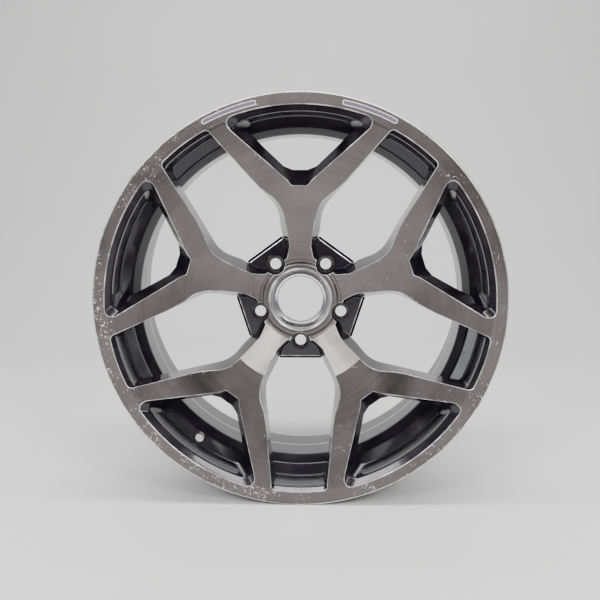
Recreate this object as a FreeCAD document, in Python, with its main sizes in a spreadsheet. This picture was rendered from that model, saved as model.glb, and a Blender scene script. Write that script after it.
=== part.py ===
"""Forged 19 x 8.5J racing wheel rim with five split-arm spokes, in millimetres.

Frame: the wheel's axis is Y, the outboard face looks towards -Y and +Z is up.  The origin is
on the axis, in the plane of the hub mounting face.  The sheet gives depths from the outermost
plane of the lip, so y = depth - hub_setback.

The real wheel is one forging.  It is divided here into the zones that a wheel maker names:
lip, bead seats, drop centre, barrel, spokes, hub, nut bosses and mounting pad.  Each zone is a
solid of its own, and neighbours meet face to face.
"""

import FreeCAD, Part
import math
import os
import Sketcher

SPOKES = 5
SECTOR = 360.0 / SPOKES
FIRST_SPOKE = 90.0
FIRST_BOSS = FIRST_SPOKE + SECTOR / 2.0
SPOKE_NAMES = ["top", "upper_left", "lower_left", "lower_right", "upper_right"]
BOSS_NAMES = ["upper_left", "left", "bottom", "right", "upper_right"]
D = "Dimensions."
AXIS = FreeCAD.Vector(0, 1, 0)
ORIGIN = FreeCAD.Vector(0, 0, 0)

DIMENSIONS = {
    # datum planes along the axis
    "hub_setback": 82.5,
    "lip_plane": 0.0,
    # turned outboard face
    "flange_radius": 258.6,
    "flange_corner_radius": 256.2,
    "flange_corner_depth": 2.4,
    "flange_corner_round": 2.4,
    "lip_inner_radius": 240.0,
    "face_arc_radius": 895.0,
    "crease_radius": 107.2,
    "crease_depth": 32.8,
    "cove_radius": 54.0,
    "cove_depth": 60.0,
    "cove_round": 3.2,
    "foot_radius": 50.2,
    "foot_depth": 61.2,
    "nose_round": 9.0,
    "crest_radius": 42.0,
    "crest_depth": 58.8,
    "crest_round": 4.2,
    "nose_inner_radius": 38.2,
    "nose_inner_depth": 61.0,
    "funnel_depth": 61.8,
    "funnel_radius": 37.6,
    "cap_bore_radius": 33.6,
    "cap_bore_depth": 66.0,
    "cap_floor_depth": 69.0,
    "bore_lead_radius": 31.1,
    "bore_lead_depth": 69.6,
    "hub_bore_radius": 30.05,
    "hub_bore_depth": 70.7,
    "bore_exit_depth": 81.5,
    # back of the disc
    "pad_radius": 75.0,
    "root_radius": 88.0,
    "root_depth": 81.0,
    "neck_radius": 112.0,
    "neck_depth": 65.0,
    "waist_radius": 150.0,
    "waist_depth": 54.0,
    "shoulder_radius": 205.0,
    "shoulder_depth": 46.0,
    # rim section
    "barrel_radius": 235.8,
    "slope_start_depth": 47.0,
    "bead_radius": 241.3,
    "bead_fillet": 6.5,
    "bead_fillet_radius": 247.8,
    "flange_wall_radius": 249.6,
    "flange_curl": 9.0,
    "outboard_wall_depth": 12.5,
    "outboard_curl_depth": 3.5,
    "outboard_bead_depth": 19.0,
    "hump_foot_radius": 240.1,
    "outboard_hump_start": 33.0,
    "outboard_hump_end": 41.0,
    "hump_round": 7.5,
    "outer_slope_start": 48.9,
    "slope_knee_radius": 227.0,
    "slope_knee_depth": 60.65,
    "slope_knee_inner_radius": 223.5,
    "slope_knee_inner_depth": 58.0,
    "well_radius": 220.0,
    "well_inner_radius": 215.5,
    "slope_end_radius": 220.95,
    "slope_end_depth": 72.75,
    "slope_end_inner_radius": 216.45,
    "slope_end_inner_depth": 72.1,
    "well_start": 76.8,
    "well_start_inner": 76.1,
    "well_round": 9.0,
    "well_end": 110.0,
    "barrel_start": 116.0,
    "barrel_start_radius": 221.2,
    "barrel_start_inner": 216.7,
    "ramp_end": 150.0,
    "ramp_end_radius": 239.6,
    "ramp_end_inner": 235.1,
    "barrel_flat": 156.0,
    "barrel_end": 203.0,
    "inboard_hump_end": 211.0,
    "inboard_bead_depth": 222.0,
    "inboard_wall_depth": 228.5,
    "inboard_curl_depth": 237.5,
    "inboard_corner_depth": 238.6,
    "overall_width": 241.0,
    "inner_flange_radius": 248.0,
    "inner_lip_radius": 244.5,
    "inner_lip_depth": 237.5,
    "flare_radius": 237.8,
    "flare_start": 213.0,
    # zones
    "hub_zone_radius": 86.0,
    "nose_zone_radius": 51.5,
    "pad_zone_depth": 79.0,
    # bolt holes and their pockets
    "bolt_circle": 114.3,
    "bolt_hole_radius": 7.25,
    "seat_radius": 11.4,
    "seat_depth": 7.19,
    "boss_radius": 12.8,
    "boss_depth": 71.5,
    "wrench_radius": 13.3,
    "floor_depth": 75.5,
    "relief_inner_radius": 44.0,
    "relief_outer_radius": 67.0,
    "relief_angle": 26.0,
    "relief_depth": 9.0,
    # valve hole
    "valve_hole_radius": 5.65,
    "valve_angle": 234.0,
    "valve_seat_radius": 230.6,
    "valve_seat_depth": 51.65,
    "valve_drill_reach": 15.0,
    # painted stripes on the lip
    "stripe_inner_radius": 247.5,
    "stripe_outer_radius": 253.5,
    "stripe_start_angle": 12.0,
    "stripe_sweep": 16.0,
    "stripe_depth": 0.3,
    "stripe_end_flat": 0.2,
}

doc = FreeCAD.newDocument("forged_rim")


def make_sheet():
    """Put every driving dimension in a spreadsheet cell that has an alias."""
    sheet = doc.addObject("Spreadsheet::Sheet", "Dimensions")
    for row, (name, value) in enumerate(DIMENSIONS.items(), start=1):
        sheet.set(f"A{row}", name)
        sheet.set(f"B{row}", str(value))
        sheet.setAlias(f"B{row}", name)
    doc.recompute()
    return sheet


sheet = make_sheet()


def dim(name):
    """Read one dimension from the sheet."""
    return float(sheet.get(name))


def plane_y(depth):
    """Axial position of a depth measured from the lip plane."""
    return depth - dim("hub_setback")


def bind(thing, **expressions):
    """Bind properties of an object to expressions on the sheet's aliases."""
    for prop, expression in expressions.items():
        thing.setExpression(prop.replace("__", "."), expression)


def turn(degrees):
    """Rotation about the wheel's axis that carries +X towards +Z for a positive angle."""
    return FreeCAD.Placement(ORIGIN, FreeCAD.Rotation(AXIS, -degrees))


# ---------------------------------------------------------------- turned sections


def arc_centre(start, end, radius, side):
    """Centre of the arc from start to end; side is +1 when it lies left of the chord."""
    chord = (end[0] - start[0], end[1] - start[1])
    length = math.hypot(*chord)
    rise = math.sqrt(max(radius * radius - length * length / 4.0, 0.0))
    middle = ((start[0] + end[0]) / 2.0, (start[1] + end[1]) / 2.0)
    return (
        middle[0] - side * rise * chord[1] / length,
        middle[1] + side * rise * chord[0] / length,
    )


def section_sketch(body, name, path):
    """Sketch a closed section in (radius, depth) coordinates.

    Each step of the path is (radius alias, depth alias) for a corner, then None for a straight
    edge to the next corner, or (round alias, side) for an arc to it.
    """
    sketch = body.newObject("Sketcher::SketchObject", name)
    planes = [item for item in body.Origin.OriginFeatures if item.Role == "XY_Plane"]
    sketch.AttachmentSupport = [(planes[0], "")]
    sketch.MapMode = "FlatFace"
    sketch.setExpression("AttachmentOffset.Base.y", "-Dimensions.hub_setback")
    corners = path[0::2]
    edges = path[1::2]
    count = len(corners)
    points = [(dim(radius), dim(depth)) for radius, depth in corners]
    starts = []
    for index in range(count):
        start = points[index]
        end = points[(index + 1) % count]
        if edges[index] is None:
            line = Part.LineSegment(FreeCAD.Vector(*start, 0), FreeCAD.Vector(*end, 0))
            sketch.addGeometry(line, False)
            starts.append((1, 2))
            continue
        radius, side = dim(edges[index][0]), edges[index][1]
        centre = arc_centre(start, end, radius, side)
        circle = Part.Circle(FreeCAD.Vector(*centre, 0), FreeCAD.Vector(0, 0, 1), radius)
        first = math.atan2(start[1] - centre[1], start[0] - centre[0])
        last = math.atan2(end[1] - centre[1], end[0] - centre[0])
        if side < 0:
            first, last = last, first
        if last < first:
            last += 2.0 * math.pi
        sketch.addGeometry(Part.ArcOfCircle(circle, first, last), False)
        starts.append((1, 2) if side > 0 else (2, 1))
    for index in range(count):
        follower = (index + 1) % count
        sketch.addConstraint(
            Sketcher.Constraint(
                "Coincident", index, starts[index][1], follower, starts[follower][0]
            )
        )
    for index, (radius, depth) in enumerate(corners):
        where = starts[index][0]
        place = sketch.addConstraint(
            Sketcher.Constraint("DistanceX", -1, 1, index, where, points[index][0])
        )
        sketch.setExpression(f"Constraints[{place}]", f"Dimensions.{radius}")
        if dim(depth) == 0.0:
            sketch.addConstraint(Sketcher.Constraint("PointOnObject", index, where, -1))
            continue
        place = sketch.addConstraint(
            Sketcher.Constraint("DistanceY", -1, 1, index, where, points[index][1])
        )
        sketch.setExpression(f"Constraints[{place}]", f"Dimensions.{depth}")
    for index, edge in enumerate(edges):
        if edge is None:
            continue
        place = sketch.addConstraint(Sketcher.Constraint("Radius", index, dim(edge[0])))
        sketch.setExpression(f"Constraints[{place}]", f"Dimensions.{edge[0]}")
    return sketch


def turned_body(label, path):
    """A PartDesign body turned about the wheel's axis from one closed section."""
    body = doc.addObject("PartDesign::Body", label)
    sketch = section_sketch(body, f"{label}_section", path)
    doc.recompute()
    ring = body.newObject("PartDesign::Revolution", f"{label}_turned")
    ring.Profile = sketch
    ring.ReferenceAxis = (sketch, ["V_Axis"])
    ring.Angle = 360.0
    body.Tip = ring
    # the seam of the turned surfaces lies at the bottom, between two spokes
    body.Placement = turn(-90.0)
    doc.recompute()
    return body


CENTRE_SECTION = [
    ("hub_bore_radius", "bore_exit_depth"), None,
    ("hub_bore_radius", "hub_bore_depth"), None,
    ("bore_lead_radius", "bore_lead_depth"), None,
    ("cap_bore_radius", "cap_floor_depth"), None,
    ("cap_bore_radius", "cap_bore_depth"), None,
    ("funnel_radius", "funnel_depth"), None,
    ("nose_inner_radius", "funnel_depth"), None,
    ("nose_inner_radius", "nose_inner_depth"), ("crest_round", 1),
    ("crest_radius", "crest_depth"), ("nose_round", 1),
    ("foot_radius", "foot_depth"), ("cove_round", -1),
    ("cove_radius", "cove_depth"), None,
    ("crease_radius", "crease_depth"), ("face_arc_radius", 1),
    ("lip_inner_radius", "lip_plane"), None,
    ("flange_corner_radius", "lip_plane"), ("flange_corner_round", 1),
    ("flange_radius", "flange_corner_depth"), None,
    ("flange_radius", "outboard_curl_depth"), ("flange_curl", 1),
    ("flange_wall_radius", "outboard_wall_depth"), None,
    ("bead_fillet_radius", "outboard_wall_depth"), ("bead_fillet", -1),
    ("bead_radius", "outboard_bead_depth"), None,
    ("barrel_radius", "outboard_bead_depth"), None,
    ("barrel_radius", "slope_start_depth"), None,
    ("shoulder_radius", "shoulder_depth"), None,
    ("waist_radius", "waist_depth"), None,
    ("neck_radius", "neck_depth"), None,
    ("root_radius", "root_depth"), None,
    ("pad_radius", "root_depth"), None,
    ("pad_radius", "hub_setback"), None,
    ("bore_lead_radius", "hub_setback"), None,
]

RIM_SECTIONS = {
    "outboard_bead_seat": [
        ("bead_radius", "outboard_bead_depth"), None,
        ("hump_foot_radius", "outboard_hump_start"), ("hump_round", 1),
        ("hump_foot_radius", "outboard_hump_end"), None,
        ("hump_foot_radius", "slope_start_depth"), None,
        ("barrel_radius", "slope_start_depth"), None,
        ("barrel_radius", "outboard_bead_depth"), None,
    ],
    "drop_centre": [
        ("hump_foot_radius", "slope_start_depth"), None,
        ("hump_foot_radius", "outer_slope_start"), None,
        ("slope_knee_radius", "slope_knee_depth"), None,
        ("slope_end_radius", "slope_end_depth"), ("well_round", -1),
        ("well_radius", "well_start"), None,
        ("well_radius", "well_end"), None,
        ("barrel_start_radius", "barrel_start"), None,
        ("barrel_start_inner", "barrel_start"), None,
        ("well_inner_radius", "well_end"), None,
        ("well_inner_radius", "well_start_inner"), ("well_round", 1),
        ("slope_end_inner_radius", "slope_end_inner_depth"), None,
        ("slope_knee_inner_radius", "slope_knee_inner_depth"), None,
        ("barrel_radius", "slope_start_depth"), None,
    ],
    "inner_barrel": [
        ("barrel_start_radius", "barrel_start"), None,
        ("ramp_end_radius", "ramp_end"), None,
        ("hump_foot_radius", "barrel_flat"), None,
        ("hump_foot_radius", "barrel_end"), None,
        ("barrel_radius", "barrel_end"), None,
        ("barrel_radius", "barrel_flat"), None,
        ("ramp_end_inner", "ramp_end"), None,
        ("barrel_start_inner", "barrel_start"), None,
    ],
    "inboard_bead_seat": [
        ("hump_foot_radius", "barrel_end"), ("hump_round", 1),
        ("hump_foot_radius", "inboard_hump_end"), None,
        ("bead_radius", "inboard_bead_depth"), None,
        ("flare_radius", "inboard_bead_depth"), None,
        ("barrel_radius", "flare_start"), None,
        ("barrel_radius", "barrel_end"), None,
    ],
    "inboard_flange": [
        ("bead_radius", "inboard_bead_depth"), ("bead_fillet", -1),
        ("bead_fillet_radius", "inboard_wall_depth"), None,
        ("flange_wall_radius", "inboard_wall_depth"), ("flange_curl", 1),
        ("flange_radius", "inboard_curl_depth"), None,
        ("flange_radius", "inboard_corner_depth"), ("flange_corner_round", 1),
        ("flange_corner_radius", "overall_width"), None,
        ("inner_flange_radius", "overall_width"), None,
        ("inner_lip_radius", "inner_lip_depth"), None,
        ("flare_radius", "inboard_bead_depth"), None,
    ],
}


# ---------------------------------------------------------------- windows cut in the disc


def face_depth(radius):
    """Depth of the turned outboard face at a radius: inner cone, crease, arc, flat lip."""
    if radius >= dim("lip_inner_radius"):
        return 0.0
    crease_radius, crease_depth = dim("crease_radius"), dim("crease_depth")
    if radius <= crease_radius:
        slope = (dim("cove_depth") - crease_depth) / (crease_radius - dim("cove_radius"))
        return crease_depth + (crease_radius - radius) * slope
    arc = dim("face_arc_radius")
    centre = arc_centre((crease_radius, crease_depth), (dim("lip_inner_radius"), 0.0), arc, 1)
    return centre[1] - math.sqrt(arc * arc - (radius - centre[0]) ** 2)


# Corners of half an opening at the turned face: distance across from its centre line, distance
# along it from the wheel's axis, corner round, and how far the wall runs across and along for
# each millimetre of depth.
V_CROTCH = (9.8, 147.5, 3.0, -0.02, 0.70)
V_CHEEK = (14.2, 153.2, 5.0, 0.22, 0.65)
V_ARM = (80.0, 210.0, 0.0, -0.224, 0.26)
V_SHELVES = [(-3.0, 244.8, 9.0), (15.0, 236.0, 10.0), (62.0, 235.7, 11.0)]
GAP_STEM = (33.8, 72.0, 3.0, -0.27, 0.0)
GAP_KNEE = (53.8, 116.0, 40.0, -0.20, 0.0)
GAP_HIP = (44.0, 148.0, 110.0, -0.03, 0.0)
GAP_ARM = (36.0, 228.0, 0.0, -0.03, 0.0)
GAP_SHELVES = [
    (-3.0, 242.2, 6.0, 78.0),
    (12.0, 236.0, 7.0, 78.2),
    (75.5, 235.7, 8.0, 78.7),
    (79.0, 235.7, 8.0, 82.3),
    (92.0, 235.7, 8.0, 82.8),
]
POCKET_ROOT = (18.0, 54.5, 4.0, -0.22, 0.15)
POCKET_STEM = (30.6, 66.0, 6.0, -0.27, 0.02)
POCKET_MOUTH = (37.2, 78.5, 0.0, -0.27, 0.0)
POCKET_REACH = 90.0
POCKET_FLARE = 3.0
POCKET_TOP = 20.0
POCKET_COVE = 2.0
OVERSHOOT = 0.3


def at_depth(corner, depth):
    """Where a corner of an opening lies at a depth, following its drafted wall."""
    across, along, round_radius, across_run, along_run = corner
    below = depth - face_depth(math.hypot(across, along))
    return (across + across_run * below, along + along_run * below, round_radius)


def beyond(near, far, share, round_radius):
    """Point on the line from near through far, past far by a share of their distance."""
    across = far[0] + (far[0] - near[0]) * share
    along = far[1] + (far[1] - near[1]) * share
    return (across, along, round_radius)


def mirrored(half):
    """Both halves of an opening, anticlockwise, from its right-hand half."""
    return half + [(-across, along, bend) for across, along, bend in reversed(half)]


def unit(across, along):
    length = math.hypot(across, along)
    return (across / length, along / length)


def line_corner(before, corner, after):
    """Tangent points and middle of the round between two straight edges."""
    across, along, bend = corner
    if bend == 0.0:
        return ((across, along), None, (across, along))
    back = unit(before[0] - across, before[1] - along)
    ahead = unit(after[0] - across, after[1] - along)
    half_angle = math.acos(back[0] * ahead[0] + back[1] * ahead[1]) / 2.0
    run = bend / math.tan(half_angle)
    inward = unit(back[0] + ahead[0], back[1] + ahead[1])
    reach = bend / math.sin(half_angle) - bend
    return (
        (across + back[0] * run, along + back[1] * run),
        (across + inward[0] * reach, along + inward[1] * reach),
        (across + ahead[0] * run, along + ahead[1] * run),
    )


def rim_corner(neighbour, corner, rim_radius):
    """The same for the round between a straight edge and the arc about the wheel's axis."""
    across, along, bend = corner
    ahead = unit(across - neighbour[0], along - neighbour[1])
    side = -1.0 if across > 0.0 else 1.0
    inward = (side * abs(ahead[1]), abs(ahead[0]))
    start = (neighbour[0] + bend * inward[0], neighbour[1] + bend * inward[1])
    middle = start[0] * ahead[0] + start[1] * ahead[1]
    apart = start[0] ** 2 + start[1] ** 2 - (rim_radius - bend) ** 2
    run = -middle + math.sqrt(middle * middle - apart)
    centre = (start[0] + run * ahead[0], start[1] + run * ahead[1])
    on_line = (centre[0] - bend * inward[0], centre[1] - bend * inward[1])
    outward = unit(*centre)
    on_rim = (outward[0] * rim_radius, outward[1] * rim_radius)
    bulge = unit(on_line[0] + on_rim[0] - 2 * centre[0], on_line[1] + on_rim[1] - 2 * centre[1])
    return (on_line, (centre[0] + bend * bulge[0], centre[1] + bend * bulge[1]), on_rim)


def outline(half, depth, rim_radius=None):
    """Closed wire of an opening at a depth; rim_radius makes its outer edge an arc."""
    corners = mirrored(half)
    count = len(corners)
    outermost = len(half) - 1
    rounds = []
    for index, corner in enumerate(corners):
        before = corners[index - 1]
        after = corners[(index + 1) % count]
        if rim_radius and index == outermost:
            rounds.append(rim_corner(before, corner, rim_radius))
        elif rim_radius and index == outermost + 1:
            rounds.append(tuple(reversed(rim_corner(after, corner, rim_radius))))
        else:
            rounds.append(line_corner(before, corner, after))
    height = plane_y(depth)

    def place(point):
        return FreeCAD.Vector(point[0], height, point[1])

    edges = []
    for index, (entry, middle, leave) in enumerate(rounds):
        if middle:
            edges.append(Part.Arc(place(entry), place(middle), place(leave)).toShape())
        following = rounds[(index + 1) % count][0]
        if rim_radius and index == outermost:
            crown = FreeCAD.Vector(0, height, rim_radius)
            edges.append(Part.Arc(place(leave), crown, place(following)).toShape())
        else:
            edges.append(Part.makeLine(place(leave), place(following)))
    return Part.Wire(edges)


def v_window_cutter():
    """The opening between the two arms of one spoke, standing at the top of the wheel."""
    wires = []
    for depth, rim_radius, bend in V_SHELVES:
        crotch = at_depth(V_CROTCH, depth)
        cheek = at_depth(V_CHEEK, depth)
        arm = beyond(cheek, at_depth(V_ARM, depth), OVERSHOOT, bend)
        wires.append(outline([crotch, cheek, arm], depth, rim_radius))
    return Part.makeLoft(wires, True, True)


def gap_cutter():
    """The opening between two neighbouring spokes, standing at the top of the wheel."""
    wires = []
    for depth, rim_radius, bend, chord in GAP_SHELVES:
        stem = at_depth(GAP_STEM, depth)
        knee = at_depth(GAP_KNEE, depth)
        hip = at_depth(GAP_HIP, depth)
        arm = beyond(hip, at_depth(GAP_ARM, depth), OVERSHOOT, bend)
        share = (chord - stem[1]) / (knee[1] - stem[1])
        foot = (stem[0] + share * (knee[0] - stem[0]), chord, stem[2])
        wires.append(outline([foot, knee, hip, arm], depth, rim_radius))
    return Part.makeLoft(wires, True, True)


def pocket_cutter():
    """The blind pocket around one bolt hole, with the nut boss left standing in it."""
    wires = []
    for depth in (POCKET_TOP, dim("floor_depth")):
        root = at_depth(POCKET_ROOT, depth)
        stem = at_depth(POCKET_STEM, depth)
        mouth = at_depth(POCKET_MOUTH, depth)
        reach = (mouth[0] + POCKET_FLARE, POCKET_REACH, 0.0)
        wires.append(outline([root, stem, mouth, reach], depth))
    pocket = Part.makeLoft(wires, True, True)
    floor = plane_y(dim("floor_depth"))
    floor_edges = []
    for edge in pocket.Edges:
        ends = (edge.valueAt(edge.FirstParameter), edge.valueAt(edge.LastParameter))
        if all(abs(end.y - floor) < 1e-6 and end.z < POCKET_REACH - 1.0 for end in ends):
            floor_edges.append(edge)
    pocket = pocket.makeFillet(POCKET_COVE, floor_edges)
    centre = FreeCAD.Vector(0, plane_y(dim("boss_depth")), dim("bolt_circle") / 2.0)
    return pocket.cut(Part.makeCylinder(dim("boss_radius"), 80.0, centre, AXIS))


def add_feature(name, shape):
    """A document object for a shape that is lofted or collected in this script."""
    item = doc.addObject("Part::Feature", name)
    item.Shape = shape
    return item


def window_cutters():
    """All fifteen openings of the disc as one compound."""
    shapes = []
    for cutter, half_sector in (
        (v_window_cutter(), 0.0),
        (gap_cutter(), SECTOR / 2.0),
        (pocket_cutter(), SECTOR / 2.0),
    ):
        for index in range(SPOKES):
            copy = cutter.copy()
            copy.rotate(ORIGIN, AXIS, half_sector + index * SECTOR)
            shapes.append(copy)
    return add_feature("window_cutters", Part.makeCompound(shapes))


# ---------------------------------------------------------------- cylinders about the axis


def cylinder(name, radius, front, back, angle=360.0, start=0.0, centre=None):
    """A Part::Cylinder along the wheel's axis between two depths given as expressions.

    With an angle below 360 it is a sector that runs down in angle from start.  centre is the
    angle of the bolt hole that it stands on.
    """
    item = doc.addObject("Part::Cylinder", name)
    item.Angle = angle
    lie_down = FreeCAD.Placement(ORIGIN, FreeCAD.Rotation(FreeCAD.Vector(1, 0, 0), -90.0))
    item.Placement = turn(start).multiply(lie_down)
    bind(item, Radius=radius, Height=f"({back}) - ({front})")
    item.setExpression("Placement.Base.y", f"({front}) - Dimensions.hub_setback")
    if centre is not None:
        item.setExpression("Placement.Base.x", f"Dimensions.bolt_circle / 2 * cos({centre} deg)")
        item.setExpression("Placement.Base.z", f"Dimensions.bolt_circle / 2 * sin({centre} deg)")
    return item


def boolean(kind, name, base, tool):
    item = doc.addObject(f"Part::{kind}", name)
    item.Base = base
    item.Tool = tool
    return item


def gather(name, shapes):
    item = doc.addObject("Part::MultiFuse", name)
    item.Shapes = shapes
    return item


def bolt_hole_cutters():
    """Wrench clearance, 60 degree nut seat and bolt hole at each of the five places."""
    tools = []
    for index, name in enumerate(BOSS_NAMES):
        angle = FIRST_BOSS + index * SECTOR
        tools.append(
            cylinder(
                f"wrench_{name}", D + "wrench_radius", "0", D + "boss_depth", centre=angle
            )
        )
        tools.append(
            cylinder(
                f"bolt_hole_{name}", D + "bolt_hole_radius", D + "boss_depth",
                D + "hub_setback + 5", centre=angle,
            )
        )
        seat = doc.addObject("Part::Cone", f"seat_{name}")
        lie_down = FreeCAD.Rotation(FreeCAD.Vector(1, 0, 0), -90.0)
        seat.Placement = FreeCAD.Placement(ORIGIN, lie_down)
        bind(
            seat,
            Radius1=D + "seat_radius",
            Radius2=D + "bolt_hole_radius",
            Height=D + "seat_depth",
            Placement__Base__x=f"{D}bolt_circle / 2 * cos({angle} deg)",
            Placement__Base__y=f"{D}boss_depth - {D}hub_setback",
            Placement__Base__z=f"{D}bolt_circle / 2 * sin({angle} deg)",
        )
        tools.append(seat)
    return gather("bolt_hole_cutters", tools)


def relief_cutters():
    """Weight-saving pockets in the mounting pad, one behind each spoke."""
    tools = []
    for index, name in enumerate(SPOKE_NAMES):
        start = FIRST_SPOKE + index * SECTOR + dim("relief_angle") / 2.0
        depths = (f"{D}hub_setback - {D}relief_depth", f"{D}hub_setback + 5")
        outer = cylinder(
            f"relief_outer_{name}", D + "relief_outer_radius", *depths,
            angle=dim("relief_angle"), start=start,
        )
        inner = cylinder(f"relief_inner_{name}", D + "relief_inner_radius", *depths)
        tools.append(boolean("Cut", f"relief_{name}", outer, inner))
    return gather("relief_cutters", tools)


# ---------------------------------------------------------------- the forging and its zones


def make_centre():
    """The turned disc and lip with its openings, bolt holes and relief pockets."""
    blank = turned_body("centre_blank", CENTRE_SECTION)
    windowed = boolean("Cut", "windowed", blank, window_cutters())
    drilled = boolean("Cut", "drilled", windowed, bolt_hole_cutters())
    return boolean("Cut", "centre", drilled, relief_cutters())


def make_lip(centre):
    """The lip ring with two shallow painted stripes let into its face."""
    core = cylinder("disc_zone", D + "barrel_radius", "-5", D + "hub_setback + 5")
    ring = boolean("Cut", "lip_turned", centre, core)
    stripes = []
    for name, start in (
        ("stripe_left", FIRST_SPOKE + dim("stripe_start_angle") + dim("stripe_sweep")),
        ("stripe_right", FIRST_SPOKE - dim("stripe_start_angle")),
    ):
        outer = cylinder(
            f"{name}_outer", D + "stripe_outer_radius", "0", D + "stripe_depth",
            angle=dim("stripe_sweep"), start=start,
        )
        inner = cylinder(f"{name}_inner", D + "stripe_inner_radius", "0", D + "stripe_depth")
        bar = boolean("Cut", f"{name}_bar", outer, inner)
        doc.recompute()
        stripe = doc.addObject("Part::Fillet", name)
        stripe.Base = bar
        width = dim("stripe_outer_radius") - dim("stripe_inner_radius")
        bend = width / 2.0 - dim("stripe_end_flat")
        corners = [
            (place, bend, bend)
            for place, edge in enumerate(bar.Shape.Edges, start=1)
            if abs(edge.Length - dim("stripe_depth")) < 1e-6
        ]
        stripe.Edges = corners
        stripes.append(stripe)
    doc.recompute()
    recesses = doc.addObject("Part::Compound", "stripe_recesses")
    recesses.Links = stripes
    lip = boolean("Cut", "lip_ring", ring, recesses)
    return [lip] + stripes


def make_spokes(centre):
    """One split-arm spoke for each sector, from the hub zone out to the barrel."""
    spokes = []
    depths = ("-5", D + "hub_setback + 5")
    for index, name in enumerate(SPOKE_NAMES):
        start = FIRST_SPOKE + index * SECTOR + SECTOR / 2.0
        outer = cylinder(
            f"sector_{name}", D + "barrel_radius", *depths, angle=SECTOR, start=start
        )
        inner = cylinder(f"sector_core_{name}", D + "hub_zone_radius", *depths)
        zone = boolean("Cut", f"zone_{name}", outer, inner)
        spokes.append(boolean("Common", f"spoke_{name}", centre, zone))
    return spokes


def make_hub(centre):
    """Hub flange, nose ring, cap seat, bore sleeve, mounting pad and the five nut bosses."""
    front = "20"
    back = D + "hub_setback + 5"
    hub = boolean("Common", "hub", centre, cylinder("hub_zone", D + "hub_zone_radius", front, back))
    sleeve = cylinder("sleeve_zone", D + "nose_inner_radius", front, D + "pad_zone_depth")
    nose = cylinder("nose_zone", D + "nose_zone_radius", front, D + "cap_bore_depth")
    pad = cylinder("pad_zone", D + "pad_radius", D + "pad_zone_depth", back)
    seat = cylinder("seat_zone", D + "nose_inner_radius", front, D + "cap_floor_depth")
    bosses = []
    nodes = []
    for index, name in enumerate(BOSS_NAMES):
        angle = FIRST_BOSS + index * SECTOR
        zone = cylinder(f"boss_zone_{name}", D + "boss_radius", D + "boss_depth", back, centre=angle)
        bosses.append(zone)
        nodes.append(boolean("Common", f"nut_boss_{name}", hub, zone))
    all_bosses = gather("boss_zones", bosses)
    pad_only = boolean("Cut", "pad_only", pad, all_bosses)
    nodes.append(boolean("Common", "mounting_pad", hub, pad_only))
    nodes.append(boolean("Common", "nose_ring", hub, boolean("Cut", "nose_only", nose, sleeve)))
    nodes.append(boolean("Common", "cap_seat_ring", hub, seat))
    nodes.append(
        boolean("Common", "hub_bore_sleeve", hub, boolean("Cut", "sleeve_only", sleeve, seat))
    )
    rest = gather("hub_zones", [sleeve, nose, pad] + bosses)
    nodes.append(boolean("Cut", "hub_flange", hub, rest))
    return nodes


def make_rim():
    """The turned rings behind the lip; the drop centre has the valve hole."""
    rings = []
    for name, path in RIM_SECTIONS.items():
        if name != "drop_centre":
            rings.append(turned_body(name, path))
            continue
        ring = turned_body("drop_centre_turned", path)
        rings.append(boolean("Cut", name, ring, valve_drill()))
    return rings


def valve_drill():
    """The drill for the valve hole, square to the sloping wall of the drop centre."""
    across = dim("barrel_radius") - dim("slope_knee_inner_radius")
    along = dim("slope_knee_inner_depth") - dim("slope_start_depth")
    length = math.hypot(across, along)
    angle = math.radians(dim("valve_angle"))
    out = FreeCAD.Vector(math.cos(angle), 0, math.sin(angle))
    direction = out * (along / length) + AXIS * (across / length)
    middle = out * dim("valve_seat_radius") + AXIS * plane_y(dim("valve_seat_depth"))
    drill = doc.addObject("Part::Cylinder", "valve_drill")
    reach = dim("valve_drill_reach")
    bind(drill, Radius=D + "valve_hole_radius", Height=f"2 * {D}valve_drill_reach")
    turned = FreeCAD.Rotation(FreeCAD.Vector(0, 0, 1), direction)
    drill.Placement = FreeCAD.Placement(middle - direction * reach, turned)
    return drill


def check(nodes):
    """Stop if any object failed, or a node is not one valid solid."""
    for item in doc.Objects:
        if "Invalid" in item.State or "Error" in item.State:
            raise RuntimeError(f"{item.Name} failed: {item.State}")
    for node in nodes:
        shape = node.Shape
        if shape.isNull() or not shape.isValid() or len(shape.Solids) != 1:
            raise RuntimeError(f"{node.Label} is not one valid solid")


def main():
    centre = make_centre()
    doc.recompute()
    nodes = make_lip(centre) + make_rim() + make_spokes(centre) + make_hub(centre)
    doc.recompute()
    check(nodes)
    os.makedirs("parts", exist_ok=True)
    total = 0.0
    for node in nodes:
        solid = node.Shape.Solids[0]
        total += solid.Volume
        solid.exportStep(f"parts/{node.Label}.step")
        print(f"{node.Label}: {solid.Volume / 1000.0:.1f} cm3")
    print(f"{len(nodes)} nodes, {total / 1000.0:.0f} cm3, {total * 2.7e-6:.1f} kg in aluminium")


main()
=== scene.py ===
import math

import bpy
import numpy as np
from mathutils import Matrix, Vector
from mathutils.geometry import delaunay_2d_cdt


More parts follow.
